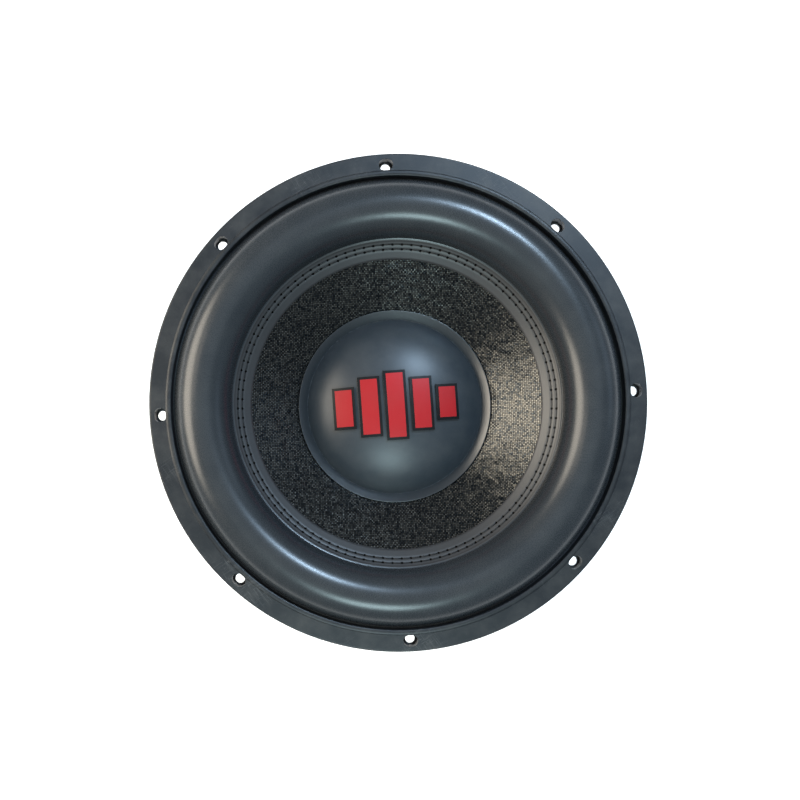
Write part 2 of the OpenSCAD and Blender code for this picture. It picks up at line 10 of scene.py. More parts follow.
import bpy
import numpy as np
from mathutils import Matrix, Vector


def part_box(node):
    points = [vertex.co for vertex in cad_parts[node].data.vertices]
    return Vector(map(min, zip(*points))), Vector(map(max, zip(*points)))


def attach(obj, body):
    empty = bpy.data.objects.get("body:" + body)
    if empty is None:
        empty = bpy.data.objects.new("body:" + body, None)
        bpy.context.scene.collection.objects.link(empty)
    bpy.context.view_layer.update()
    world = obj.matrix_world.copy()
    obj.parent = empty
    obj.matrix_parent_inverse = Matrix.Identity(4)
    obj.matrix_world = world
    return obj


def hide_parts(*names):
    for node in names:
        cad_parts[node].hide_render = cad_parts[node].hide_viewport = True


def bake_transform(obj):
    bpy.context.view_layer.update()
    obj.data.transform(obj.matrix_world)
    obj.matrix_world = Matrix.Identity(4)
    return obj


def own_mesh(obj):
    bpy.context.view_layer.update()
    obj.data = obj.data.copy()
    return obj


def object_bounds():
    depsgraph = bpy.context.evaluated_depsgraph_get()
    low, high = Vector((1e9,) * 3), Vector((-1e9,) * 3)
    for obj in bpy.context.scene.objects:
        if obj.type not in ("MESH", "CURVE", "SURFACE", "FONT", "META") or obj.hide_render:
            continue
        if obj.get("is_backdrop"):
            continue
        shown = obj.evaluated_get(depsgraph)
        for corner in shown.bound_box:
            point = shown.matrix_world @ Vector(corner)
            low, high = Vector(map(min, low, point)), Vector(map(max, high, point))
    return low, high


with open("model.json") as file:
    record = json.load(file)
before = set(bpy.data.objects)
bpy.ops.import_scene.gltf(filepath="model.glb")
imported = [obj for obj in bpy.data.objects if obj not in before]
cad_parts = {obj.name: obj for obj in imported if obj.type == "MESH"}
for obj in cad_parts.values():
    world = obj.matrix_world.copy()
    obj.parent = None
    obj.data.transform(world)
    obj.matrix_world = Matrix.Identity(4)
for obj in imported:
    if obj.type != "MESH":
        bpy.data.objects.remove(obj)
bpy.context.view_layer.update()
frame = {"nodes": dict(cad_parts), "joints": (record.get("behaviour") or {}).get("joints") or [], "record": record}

LOG = logging.getLogger("driver")
MM = 0.001
FIXED = "fixed_frame"
MOVING = "moving_cone"
SIDES = ("left", "right")
POLES = ("positive", "negative")
POSTS = tuple((side, pole) for side in SIDES for pole in POLES)
REST = "rest_point"
Value = bpy.types.NodeSocket | float | Sequence[float] | None


def mount(name: str) -> dict:
    """Finds one of the record's mounts.

    Args:
        name: the mount's name.

    Returns:
        The mount as the record states it.
    """
    return next(m for m in frame["record"]["mounts"] if m["name"] == name)


def joint(name: str) -> dict:
    """Finds one of the record's joints.

    Args:
        name: the joint's name.

    Returns:
        The joint as the record states it.
    """
    return next(j for j in frame["joints"] if j["name"] == name)


# ---------------------------------------------------------------- shader trees


class Graph:
    """Adds and joins the nodes of one shader tree."""

    def __init__(self, tree: bpy.types.NodeTree) -> None:
        """Starts on a tree, which may hold nodes already."""
        self.tree = tree

    def feed(self, socket: bpy.types.NodeSocket, value: Value) -> None:
        """Links a socket's source to it, or sets its value.

        Args:
            socket: the input to feed.
            value: a source socket, a constant, or None to leave the input as it is.
        """
        if isinstance(value, bpy.types.NodeSocket):
            self.tree.links.new(value, socket)
        elif value is not None:
            socket.default_value = value

    def node(self, kind: str, inputs: dict | None = None, **settings: object) -> bpy.types.Node:
        """Adds one node.

        Args:
            kind: the node's type, without its ShaderNode prefix.
            inputs: what feeds each input, by name or index.
            settings: properties of the node.

        Returns:
            The node.
        """
        node = self.tree.nodes.new(kind if kind.startswith("NodeGroup") else "ShaderNode" + kind)
        for name, value in settings.items():
            setattr(node, name, value)
        for key, value in (inputs or {}).items():
            self.feed(node.inputs[key], value)
        return node

    def math(self, operation: str, *values: Value, clamp: bool = False) -> bpy.types.NodeSocket:
        """Adds a maths node and returns its result.

        Args:
            operation: the node's operation.
            values: what feeds each input.
            clamp: keeps the result between 0 and 1.

        Returns:
            The result.
        """
        node = self.node("Math", operation=operation, use_clamp=clamp)
        for socket, value in zip(node.inputs, values):
            self.feed(socket, value)
        return node.outputs[0]

    def total(self, *values: Value) -> bpy.types.NodeSocket:
        """Adds up several values.

        Args:
            values: the values.

        Returns:
            Their sum.
        """
        result = values[0]
        for value in values[1:]:
            result = self.math("ADD", result, value)
        return result

    def times(self, *values: Value) -> bpy.types.NodeSocket:
        """Multiplies several values.

        Args:
            values: the values.

        Returns:
            Their product.
        """
        result = values[0]
        for value in values[1:]:
            result = self.math("MULTIPLY", result, value)
        return result

    def less(self, value: Value, taken: Value) -> bpy.types.NodeSocket:
        """Takes one value from another."""
        return self.math("SUBTRACT", value, taken)

    def length(self, x: Value, y: Value) -> bpy.types.NodeSocket:
        """The length of a flat vector of two parts."""
        return self.math("SQRT", self.total(self.times(x, x), self.times(y, y)))

    def crown(self, place: Value, cell: Value, fullness: float) -> bpy.types.NodeSocket:
        """How high a thread stands at a place across its cell: a cosine that is 1 in the cell's middle."""
        off = self.less(self.less(place, cell), 0.5)
        return self.math("COSINE", self.times(off, math.pi * fullness))

    def remap(self, value: Value, low: float, high: float, to_low: float = 0.0, to_high: float = 1.0,
              smooth: bool = False) -> bpy.types.NodeSocket:
        """Maps a value from one range to another, clamped at both ends.

        Args:
            value: the value to map.
            low: what becomes to_low.
            high: what becomes to_high.
            to_low: the new low end.
            to_high: the new high end.
            smooth: eases both ends.

        Returns:
            The mapped value.
        """
        node = self.node("MapRange", {0: value, 1: low, 2: high, 3: to_low, 4: to_high})
        node.interpolation_type = "SMOOTHSTEP" if smooth else "LINEAR"
        return node.outputs[0]

    def colours(self, factor: Value, a: Value, b: Value) -> bpy.types.NodeSocket:
        """Mixes two colours.

        Args:
            factor: 0 gives the first colour, and 1 the second.
            a: the first colour.
            b: the second.

        Returns:
            The mixed colour.
        """
        node = self.node("Mix", data_type="RGBA")
        for index, value in ((0, factor), (6, a), (7, b)):
            self.feed(node.inputs[index], value)
        return node.outputs[2]

    def levels(self, factor: Value, a: Value, b: Value) -> bpy.types.NodeSocket:
        """Mixes two plain values.

        Args:
            factor: 0 gives the first value, and 1 the second.
            a: the first value.
            b: the second.

        Returns:
            The mixed value.
        """
        node = self.node("Mix", data_type="FLOAT")
        for index, value in ((0, factor), (2, a), (3, b)):
            self.feed(node.inputs[index], value)
        return node.outputs[0]

    def split(self, vector: Value) -> tuple[bpy.types.NodeSocket, ...]:
        """Splits a vector into its three parts."""
        return tuple(self.node("SeparateXYZ", {0: vector}).outputs)

    def joined(self, x: Value, y: Value, z: Value) -> bpy.types.NodeSocket:
        """Makes a vector of three values."""
        return self.node("CombineXYZ", {0: x, 1: y, 2: z}).outputs[0]

    def noise(self, point: Value, scale: Value, detail: float = 2.0,
              roughness: float = 0.5) -> bpy.types.NodeSocket:
        """Adds a noise texture of so many features a metre."""
        inputs = {"Vector": point, "Scale": scale, "Detail": detail, "Roughness": roughness}
        return self.node("TexNoise", inputs).outputs[0]

    def effect(self, effect: "Effect", **inputs: Value) -> bpy.types.NodeSocketStandard:
        """Adds one of the shared effects and returns its outputs by name.

        Args:
            effect: the effect.
            inputs: what feeds each input, named in small letters.

        Returns:
            The group's outputs.
        """
        node = self.node("Group", node_tree=effect.tree())
        for name, value in inputs.items():
            self.feed(node.inputs[name.replace("_", " ").title()], value)
        return node.outputs


@dataclass(frozen=True)
class Effect:
    """A shader node group that several finishes share.

    Attributes:
        name: the group's name.
        inputs: each input's name and default; a default of None makes a vector input.
        outputs: the names of its outputs, which are all plain values.
        build: draws the group, given its graph and its input sockets, and returns the outputs' sources.
    """

    name: str
    inputs: dict[str, float | None]
    outputs: tuple[str, ...]
    build: Callable[[Graph, dict], tuple]

    def tree(self) -> bpy.types.NodeTree:
        """Makes the node group the first time, and returns it after that.

        Returns:
            The node group.
        """
        if self.name in bpy.data.node_groups:
            return bpy.data.node_groups[self.name]
        tree = bpy.data.node_groups.new(self.name, "ShaderNodeTree")
        for name, default in self.inputs.items():
            kind = "NodeSocketVector" if default is None else "NodeSocketFloat"
            socket = tree.interface.new_socket(name, in_out="INPUT", socket_type=kind)
            if default is not None:
                socket.default_value = default
        for name in self.outputs:
            tree.interface.new_socket(name, in_out="OUTPUT", socket_type="NodeSocketFloat")
        graph = Graph(tree)
        start = graph.node("NodeGroupInput")
        sources = self.build(graph, {name: start.outputs[name] for name in self.inputs})
        end = graph.node("NodeGroupOutput")
        for name, source in zip(self.outputs, sources):
            graph.feed(end.inputs[name], source)
        return tree


def _grain(g: Graph, given: dict) -> tuple:
    """Fine grain of a moulded or sprayed skin, and a slow drift of tone across it.

    Args:
        g: the graph to draw in.
        given: the group's inputs, by name.

    Returns:
        The height of the grain and the drift of tone, each from 0 to 1.
    """
    fine = g.noise(given["Point"], g.math("DIVIDE", 1.0, given["Size"]), 3.0, 0.62)
    slow = g.noise(given["Point"], 34.0, 3.0, 0.55)
    return fine, g.remap(slow, 0.3, 0.7)


def _wear(g: Graph, given: dict) -> tuple:
    """Rubbed edges: where the rounded normal leaves the true one, broken up by noise.

    Args:
        g: the graph to draw in.
        given: the group's inputs, by name.

    Returns:
        The mask of rubbed places.
    """
    rounded = g.node("Bevel", {"Radius": given["Reach"]}, samples=4).outputs[0]
    true = g.node("NewGeometry").outputs["Normal"]
    turn = g.node("VectorMath", {0: rounded, 1: true}, operation="DOT_PRODUCT").outputs["Value"]
    edge = g.remap(g.less(1.0, turn), 0.02, 0.22)
    broken = g.remap(g.noise(given["Point"], 420.0, 4.0, 0.7), 0.42, 0.62)
    return (g.times(edge, broken, given["Amount"]),)


def _dust(g: Graph, given: dict) -> tuple:
    """Fine dust that lies on what faces up, in drifts and specks.

    Args:
        g: the graph to draw in.
        given: the group's inputs, by name.

    Returns:
        The mask of dust.
    """
    up = g.remap(g.split(g.node("NewGeometry").outputs["Normal"])[2], 0.1, 0.95)
    drift = g.remap(g.noise(given["Point"], 60.0, 4.0, 0.6), 0.4, 0.75)
    specks = g.remap(g.noise(given["Point"], 1900.0, 1.0), 0.7, 0.78)
    return (g.times(up, g.total(g.times(drift, 0.55), specks), given["Amount"]),)


def _scratches(g: Graph, given: dict) -> tuple:
    """Hairline scratches that run two ways and come and go.

    Args:
        g: the graph to draw in.
        given: the group's inputs, by name.

    Returns:
        The mask of scratches.
    """
    x, y, z = g.split(given["Point"])
    lines = []
    for turn, stretch in ((0.6, 26.0), (2.2, 31.0)):
        along = g.total(g.times(x, math.cos(turn)), g.times(y, math.sin(turn)))
        across = g.total(g.times(x, -math.sin(turn)), g.times(y, math.cos(turn)), z)
        stretched = g.joined(g.times(along, 22.0), g.times(across, 22.0 * stretch), 0.0)
        line = g.noise(stretched, 1.0, 2.0, 0.6)
        lines.append(g.remap(g.math("ABSOLUTE", g.math("SUBTRACT", line, 0.5)), 0.012, 0.0))
    patch = g.remap(g.noise(given["Point"], 26.0, 2.0), 0.5, 0.66)
    return (g.times(g.math("MAXIMUM", *lines), patch, given["Amount"]),)


def _matting(g: Graph, given: dict) -> tuple:
    """Cloth pressed from the flat: threads along X and Y, each over one and under one, that swell between.

    Args:
        g: the graph to draw in.
        given: the group's inputs, by name.

    Returns:
        The cloth's height, which thread lies on top, and a tone for each crossing.
    """
    x, y, _ = g.split(given["Point"])
    wander = g.times(g.less(g.noise(given["Point"], 120.0, 2.0), 0.5), 1.1)
    u = g.total(g.math("DIVIDE", x, given["Pitch"]), wander)
    v = g.less(g.math("DIVIDE", y, given["Pitch"]), wander)
    i, j = g.math("FLOOR", u), g.math("FLOOR", v)
    over = g.math("LESS_THAN", g.math("FLOORED_MODULO", g.math("ADD", i, j), 2.0), 0.5)
    height = g.times(g.crown(u, i, 0.9), g.crown(v, j, 0.9), g.levels(over, 0.45, 1.0))
    tone = g.node("TexWhiteNoise", {"Vector": g.joined(i, j, 0.0)}, noise_dimensions="3D").outputs["Value"]
    return height, over, tone


def _plain(g: Graph, given: dict) -> tuple:
    """Plain weave on a strip: so many threads along U and V, each over one and under one.

    Args:
        g: the graph to draw in.
        given: the group's inputs, by name.

    Returns:
        The cloth's height, and which thread lies on top.
    """
    u, v, _ = g.split(given["Point"])
    u, v = g.times(u, given["Along"]), g.times(v, given["Across"])
    i, j = g.math("FLOOR", u), g.math("FLOOR", v)
    over = g.math("GREATER_THAN", g.math("FLOORED_MODULO", g.math("ADD", i, j), 2.0), 0.5)
    return g.levels(over, g.crown(v, j, 0.95), g.crown(u, i, 0.95)), over


def _turning(g: Graph, given: dict) -> tuple:
    """Rings left by a lathe: noise that varies only with the distance from the axis and the height.

    Args:
        g: the graph to draw in.
        given: the group's inputs, by name.

    Returns:
        The height of the rings.
    """
    x, y, z = g.split(given["Point"])
    return (g.noise(g.joined(g.length(x, y), z, 0.0), given["Rings"], 3.0, 0.7),)


def _punctures(g: Graph, given: dict) -> tuple:
    """Needle holes in two rows: one for each stitch, where the thread dives.

    Args:
        g: the graph to draw in.
        given: the group's inputs, by name.

    Returns:
        The masks of the holes and of the valley that each row presses, which also mark where shade is painted into
        them.
    """
    u, v, _ = g.split(given["Point"])
    share = g.less(g.math("FRACT", g.times(u, given["Count"])), 0.5)
    along = g.times(g.math("ABSOLUTE", share), given["Pitch"])
    first, second = (g.less(v, given[row]) for row in ("First Row", "Second Row"))
    nearest = g.math("MINIMUM", g.length(along, first), g.length(along, second))
    valley = g.math("MINIMUM", g.math("ABSOLUTE", first), g.math("ABSOLUTE", second))
    hole = g.less(1.0, g.remap(nearest, 0.6 * MM, 1.1 * MM, smooth=True))
    groove = g.less(1.0, g.remap(valley, 0.0, 1.1 * MM, smooth=True))
    return hole, groove


GRAIN = Effect("grain", {"Point": None, "Size": 0.0004}, ("Height", "Drift"), _grain)
WEAR = Effect("edge wear", {"Point": None, "Reach": 0.0006, "Amount": 0.5}, ("Mask",), _wear)
DUST = Effect("dust", {"Point": None, "Amount": 0.2}, ("Mask",), _dust)
SCRATCHES = Effect("scratches", {"Point": None, "Amount": 0.5}, ("Mask",), _scratches)
MATTING = Effect("matting", {"Point": None, "Pitch": 0.001}, ("Height", "Over", "Tone"), _matting)
PLAIN = Effect("plain weave", {"Point": None, "Along": 900.0, "Across": 60.0}, ("Height", "Over"), _plain)
TURNING = Effect("turning", {"Point": None, "Rings": 2600.0}, ("Height",), _turning)
PUNCTURES = Effect("punctures",
                   {"Point": None, "Count": 104.0, "Pitch": 0.006, "First Row": 0.0, "Second Row": 0.0},
                   ("Hole Shade", "Groove Shade"), _punctures)


class Texture(Enum):
    """What covers a plain finish."""

    GRAIN = "grain"
    TURNED = "turned"
    WOUND = "wound"


class Coordinates(Enum):
    """Where a finish takes its points from."""

    OBJECT = "object"
    REST = "rest"


def colour(r: float, g: float, b: float) -> tuple[float, float, float, float]:
    """Makes an opaque colour of three linear parts."""
    return (r, g, b, 1.0)


@dataclass(frozen=True)
class Finish:
    """A moulded, sprayed, plated or machined skin.

    Attributes:
        name: the material's name.
        base: its colour.
        drift: the colour it drifts to in patches.
        roughness: its roughness where it is clean.
        metallic: 1 for bare metal.
        coat: weight of a clear coat.
        specular: its specular level.
        texture: what covers it.
        size: width of one feature of that texture, in metres.
        depth: how deep the texture is, in metres.
        wear: how much its edges are rubbed.
        worn: the colour that shows there.
        dust: how much dust lies on it.
        scratch: how far it is scratched.
        coordinates: where its points come from.
        rounding: how far its shading rounds a sharp edge, in metres.
    """

    name: str
    base: tuple[float, float, float, float]
    drift: tuple[float, float, float, float]
    roughness: float
    metallic: float = 0.0
    coat: float = 0.0
    specular: float = 0.5
    texture: Texture = Texture.GRAIN
    size: float = 0.0004
    depth: float = 0.00002
    wear: float = 0.4
    worn: tuple[float, float, float, float] = colour(0.16, 0.16, 0.16)
    dust: float = 0.12
    scratch: float = 0.0
    coordinates: Coordinates = Coordinates.OBJECT
    rounding: float = 0.0

    def points(self, g: Graph) -> bpy.types.NodeSocket:
        """The points that the finish's textures are laid on.

        Args:
            g: the graph to draw in.

        Returns:
            Object coordinates, or the points where the piece stood at rest.
        """
        if self.coordinates is Coordinates.REST:
            return g.node("Attribute", attribute_name=REST).outputs["Vector"]
        return g.node("TexCoord").outputs["Object"]

    def skin(self, g: Graph, point: bpy.types.NodeSocket) -> tuple[Value, Value, Value]:
        """Colour, roughness and height before wear and dust.

        Args:
            g: the material's graph.
            point: the points that textures are laid on.

        Returns:
            The colour, the roughness and the height, which runs from 0 to 1.
        """
        grain = g.effect(GRAIN, point=point, size=self.size)
        height = grain["Height"]
        if self.texture is Texture.TURNED:
            height = g.effect(TURNING, point=point, rings=1.0 / self.size)["Height"]
        if self.texture is Texture.WOUND:
            z = g.split(point)[2]
            height = g.math("ABSOLUTE", g.math("SINE", g.times(z, math.pi / self.size)))
        tone = g.colours(grain["Drift"], self.base, self.drift)
        rough = g.remap(height, 0.3, 0.7, self.roughness - 0.05, self.roughness + 0.07)
        return tone, rough, height

    def material(self) -> bpy.types.Material:
        """Makes the material the first time, and returns it after that.

        Returns:
            The material.
        """
        if self.name in bpy.data.materials:
            return bpy.data.materials[self.name]
        made = bpy.data.materials.new(self.name)
        made.use_nodes = True
        made.node_tree.nodes.clear()
        g = Graph(made.node_tree)
        point = self.points(g)
        tone, rough, height = self.skin(g, point)
        if self.wear:
            rubbed = g.effect(WEAR, point=point, amount=self.wear)["Mask"]
            tone = g.colours(rubbed, tone, self.worn)
        if self.scratch:
            marks = g.effect(SCRATCHES, point=point, amount=self.scratch)["Mask"]
            tone = g.colours(g.times(marks, 0.35), tone, colour(0.3, 0.3, 0.3))
            rough = g.total(rough, g.times(marks, 0.15))
        if self.dust:
            lying = g.effect(DUST, point=point, amount=self.dust)["Mask"]
            tone = g.colours(lying, tone, colour(0.33, 0.31, 0.28))
            rough = g.levels(lying, rough, 0.8)
        tone, rough = self.last_coat(g, point, tone, rough)
        bump = g.node("Bump", {"Strength": 1.0, "Distance": self.depth, "Height": height})
        if self.rounding:
            g.feed(bump.inputs["Normal"], g.node("Bevel", {"Radius": self.rounding}, samples=6).outputs[0])
        shader = g.node("BsdfPrincipled", {
            "Base Color": tone,
            "Roughness": rough,
            "Normal": bump.outputs[0],
            "Metallic": self.metallic,
            "Specular IOR Level": self.specular,
            "Coat Weight": self.coat,
            "Coat Roughness": 0.12,
            **self.extras(g, point),
        })
        g.node("OutputMaterial", {0: shader.outputs[0]})
        return made

    def last_coat(self, g: Graph, point: bpy.types.NodeSocket,
                  tone: Value, rough: Value) -> tuple[Value, Value]:
        """Colour and roughness once whatever lies over wear and dust is on.

        Args:
            g: the material's graph.
            point: the points that textures are laid on.
            tone: the colour so far.
            rough: the roughness so far.

        Returns:
            The last colour and roughness.
        """
        return tone, rough

    def extras(self, g: Graph, point: bpy.types.NodeSocket) -> dict[str, Value]:
        """Further shader inputs that a kind of finish sets.

        Args:
            g: the material's graph.
            point: the points that textures are laid on.

        Returns:
            The value of each input.
        """
        return {}


@dataclass(frozen=True)
class RimmedFinish(Finish):
    """A round moulding whose outer rim has a tone and a shine of its own.

    Attributes:
        reach: the radius about the axis at which the rim starts, in metres.
        rim: the rim's colour.
        rim_roughness: the roughness of the rim and of its lacquer.
        rim_coat: how much lacquer is on it.
    """

    reach: float = 0.1
    rim: tuple[float, float, float, float] = colour(0.01, 0.01, 0.01)
    rim_roughness: float = 0.4
    rim_coat: float = 0.0

    def on_rim(self, g: Graph, point: bpy.types.NodeSocket) -> bpy.types.NodeSocket:
        """1 on the rim and 0 inside it.

        Args:
            g: the graph to draw in.
            point: the points that textures are laid on.

        Returns:
            The mask.
        """
        x, y, _ = g.split(point)
        return g.remap(g.length(x, y), self.reach, self.reach + 0.3 * MM)

    def last_coat(self, g: Graph, point: bpy.types.NodeSocket,
                  tone: Value, rough: Value) -> tuple[Value, Value]:
        """The rim's colour and roughness over those of the rest.

        Args:
            g: the graph to draw in.
            point: the points that textures are laid on.
            tone: the colour so far.
            rough: the roughness so far.

        Returns:
            The last colour and roughness.
        """
        rim = self.on_rim(g, point)
        return g.colours(rim, tone, self.rim), g.levels(rim, rough, self.rim_roughness)

    def extras(self, g: Graph, point: bpy.types.NodeSocket) -> dict[str, Value]:
        """The rim's own shine.

        Args:
            g: the graph to draw in.
            point: the points that textures are laid on.

        Returns:
            The inputs of the rim's lacquer.
        """
        rim = self.on_rim(g, point)
        return {"Coat Weight": g.times(rim, self.rim_coat), "Coat Roughness": self.rim_roughness}


@dataclass(frozen=True)
class WovenCone(Finish):
    """A woven-fibre cone under a thin resin: two directions of glossy thread with dark gaps.

    The threads' shine takes their colour, so a dull thread and the gaps between threads stay black.

    Attributes:
        thread: the colour of a bright thread.
        gap: the colour between threads.
        ripple: height of the cloth's slow ripples, as a multiple of the depth of its weave.
    """

    thread: tuple[float, float, float, float] = colour(0.215, 0.203, 0.178)
    gap: tuple[float, float, float, float] = colour(0.002, 0.002, 0.002)
    ripple: float = 13.0

    def skin(self, g: Graph, point: bpy.types.NodeSocket) -> tuple[Value, Value, Value]:
        """Colour, roughness and height of the cloth.

        Args:
            g: the graph to draw in.
            point: the points that textures are laid on.

        Returns:
            The colour, the roughness and the height.
        """
        cloth = g.effect(MATTING, point=point, pitch=self.size)
        bright = g.colours(cloth["Tone"], self.base, self.thread)
        lit = g.colours(g.times(cloth["Over"], 0.3), bright, self.drift)
        tone = g.colours(g.remap(cloth["Height"], 0.1, 0.6), self.gap, lit)
        rough = g.levels(cloth["Tone"], self.roughness - 0.1, self.roughness + 0.08)
        ripple = g.times(g.noise(point, 95.0, 2.0, 0.6), self.ripple)
        return tone, rough, g.total(cloth["Height"], ripple)


@dataclass(frozen=True)
class StripCloth(Finish):
    """Plain-woven cloth or braid laid along a piece's UV.

    Attributes:
        along: threads along one unit of U.
        across: threads along one unit of V.
        gap: the colour between threads.
        sheen: weight of the fuzz on the cloth.
    """

    along: float = 900.0
    across: float = 90.0
    gap: tuple[float, float, float, float] = colour(0.01, 0.008, 0.006)
    sheen: float = 0.0

    def skin(self, g: Graph, point: bpy.types.NodeSocket) -> tuple[Value, Value, Value]:
        """Colour, roughness and height of the cloth.

        Args:
            g: the graph to draw in.
            point: the points that textures are laid on.

        Returns:
            The colour, the roughness and the height.
        """
        uv = g.node("UVMap").outputs[0]
        cloth = g.effect(PLAIN, point=uv, along=self.along, across=self.across)
        drift = g.effect(GRAIN, point=point, size=0.004)["Drift"]
        thread = g.colours(drift, self.base, self.drift)
        tone = g.colours(g.remap(cloth["Height"], 0.1, 0.6), self.gap, thread)
        rough = g.levels(cloth["Over"], self.roughness - 0.06, self.roughness + 0.06)
        return tone, rough, cloth["Height"]

    def extras(self, g: Graph, point: bpy.types.NodeSocket) -> dict[str, Value]:
        """The fuzz of the cloth."""
        return {"Sheen Weight": self.sheen, "Sheen Roughness": 0.5}


@dataclass(frozen=True)
class SewnRubber(Finish):
    """The surround's rubber, with a matt sewn band that two rows of needle holes run round, and painted shade in
    the holes and in the rows' valleys.

    Attributes:
        rows: where the rows lie along V, in metres.
        count: needle holes in a row.
        pitch: distance between them, in metres.
        band: the colour of the sewn band.
        fold: where along V the band starts and ends, in metres.
        band_coat: how much lacquer is on the sewn band.
        band_roughness: the roughness of the band and of its lacquer.
    """

    rows: tuple[float, float] = (0.0, 0.0)
    count: int = 104
    pitch: float = 0.006
    band: tuple[float, float, float, float] = colour(0.024, 0.024, 0.025)
    fold: tuple[float, float] = (0.0, 0.0)
    band_coat: float = 0.8
    band_roughness: float = 0.47

    def skin(self, g: Graph, point: bpy.types.NodeSocket) -> tuple[Value, Value, Value]:
        """Colour, roughness and height of the rubber.

        Args:
            g: the graph to draw in.
            point: the points that textures are laid on.

        Returns:
            The colour, the roughness and the height.
        """
        uv = g.node("UVMap").outputs[0]
        v = g.split(uv)[1]
        grain = g.effect(GRAIN, point=point, size=self.size)
        sewn = self.sewn(g, uv)
        banded = self.banded(g, v)
        roll = g.colours(grain["Drift"], self.base, self.drift)
        tone = g.colours(banded, roll, self.band)
        # Painted shade: the stitch valleys are darkened and the needle holes painted near black, for the shade
        # that falls into them.
        tone = g.colours(g.times(sewn["Groove Shade"], 0.5), tone, colour(0.012, 0.012, 0.012))
        tone = g.colours(sewn["Hole Shade"], tone, colour(0.004, 0.004, 0.004))
        weave = g.noise(point, 1500.0, 2.0, 0.7)
        bare = g.remap(grain["Height"], 0.3, 0.7, self.roughness - 0.04, self.roughness + 0.06)
        rough = g.levels(banded, bare, self.band_roughness)
        height = g.levels(banded, g.times(grain["Height"], 0.5), g.times(weave, 1.6))
        height = g.less(height, g.times(sewn["Hole Shade"], 9.0))
        height = g.less(height, g.times(sewn["Groove Shade"], 4.0))
        return tone, rough, height

    def sewn(self, g: Graph, uv: bpy.types.NodeSocket) -> dict[str, bpy.types.NodeSocket]:
        """The needle holes and the valleys that the rows of stitches press into the band, with the masks of the
        shade painted into them.
        """
        return g.effect(PUNCTURES, point=uv, count=float(self.count), pitch=self.pitch,
                        first_row=self.rows[0], second_row=self.rows[1])

    def extras(self, g: Graph, point: bpy.types.NodeSocket) -> dict[str, Value]:
        """Painted shade: the needle holes, and the stitch valleys in part, are made metal at their near-black
        colour so that nothing shines from them; the sewn band has a matt lacquer.

        Args:
            g: the graph to draw in.
            point: the points that textures are laid on.

        Returns:
            The painted shade that takes the shine out of the holes, and the band's lacquer.
        """
        uv = g.node("UVMap").outputs[0]
        sewn = self.sewn(g, uv)
        # Painted shade: metal at the holes' near-black colour takes away their shine, and part of the valleys'
        # shine.
        dull = g.math("MAXIMUM", sewn["Hole Shade"], g.times(sewn["Groove Shade"], 0.4))
        lacquer = g.times(g.less(1.0, dull), self.band_coat)
        return {"Metallic": dull, "Coat Roughness": self.band_roughness,
                "Coat Weight": g.times(lacquer, self.banded(g, g.split(uv)[1]))}

    def banded(self, g: Graph, v: bpy.types.NodeSocket) -> bpy.types.NodeSocket:
        """1 on the sewn band and 0 on the roll."""
        (low, high), soft = self.fold, 0.4 * MM
        return g.times(g.remap(v, low - soft, low + soft), g.remap(v, high + soft, high - soft))


# ---------------------------------------------------------------- shapes


@dataclass
class Shape:
    """One closed skin: its points, its faces, and the UV of each face's corners.

    Attributes:
        points: an array of points, in metres.
        faces: arrays of corner indices, each with as many columns as its faces have corners.
        uvs: for each array of faces, the UV of every corner.
    """

    points: np.ndarray
    faces: list[np.ndarray]
    uvs: list[np.ndarray]

    def outward(self) -> "Shape":
        """Turns every face over if the enclosed volume comes out negative, so that all of them look out.

        Returns:
            The same shape.
        """
        volume = 0.0
        for faces in self.faces:
            for k in range(1, faces.shape[1] - 1):
                a, b, c = (self.points[faces[:, n]] for n in (0, k, k + 1))
                volume += float(np.einsum("ij,ij->i", a, np.cross(b, c)).sum())
        if volume < 0:
            self.faces = [faces[:, ::-1] for faces in self.faces]
            self.uvs = [uv[:, ::-1] for uv in self.uvs]
        return self

    def plus(self, other: "Shape") -> "Shape":
        """Joins another shape to this one as a separate closed skin.

        Args:
            other: the shape to join on.

        Returns:
            Both shapes as one.
        """
        shift = len(self.points)
        return Shape(np.vstack([self.points, other.points]),
                     self.faces + [faces + shift for faces in other.faces], self.uvs + other.uvs)

    def piece(self, name: str, finish: Finish, sharp: float = 35.0) -> bpy.types.Object:
        """Makes a Blender object of the shape.

        Args:
            name: the piece's name.
            finish: what covers it.
            sharp: the angle, in degrees, over which an edge stays sharp.

        Returns:
            The object, at the origin, with its material.
        """
        shape = self.outward()
        corners = np.concatenate([faces.ravel() for faces in shape.faces])
        totals = np.concatenate([np.full(len(faces), faces.shape[1]) for faces in shape.faces])
        starts = np.concatenate([[0], np.cumsum(totals)[:-1]])
        mesh = bpy.data.meshes.new(name)
        mesh.vertices.add(len(shape.points))
        mesh.vertices.foreach_set("co", shape.points.astype(np.float32).ravel())
        mesh.loops.add(len(corners))
        mesh.loops.foreach_set("vertex_index", corners.astype(np.int32))
        mesh.polygons.add(len(totals))
        mesh.polygons.foreach_set("loop_start", starts.astype(np.int32))
        mesh.polygons.foreach_set("loop_total", totals.astype(np.int32))
        layer = mesh.uv_layers.new(name="UVMap")
        layer.data.foreach_set("uv", np.concatenate([uv.reshape(-1) for uv in shape.uvs]).astype(np.float32))
        mesh.update(calc_edges=True)
        mesh.validate()
        mesh.polygons.foreach_set("use_smooth", np.ones(len(totals), bool))
        mesh.set_sharp_from_angle(angle=math.radians(sharp))
        rest = mesh.attributes.new(REST, "FLOAT_VECTOR", "POINT")
        rest.data.foreach_set("vector", shape.points.astype(np.float32).ravel())
        made = bpy.data.objects.new(name, mesh)
        bpy.context.scene.collection.objects.link(made)
        mesh.materials.append(finish.material())
        return made


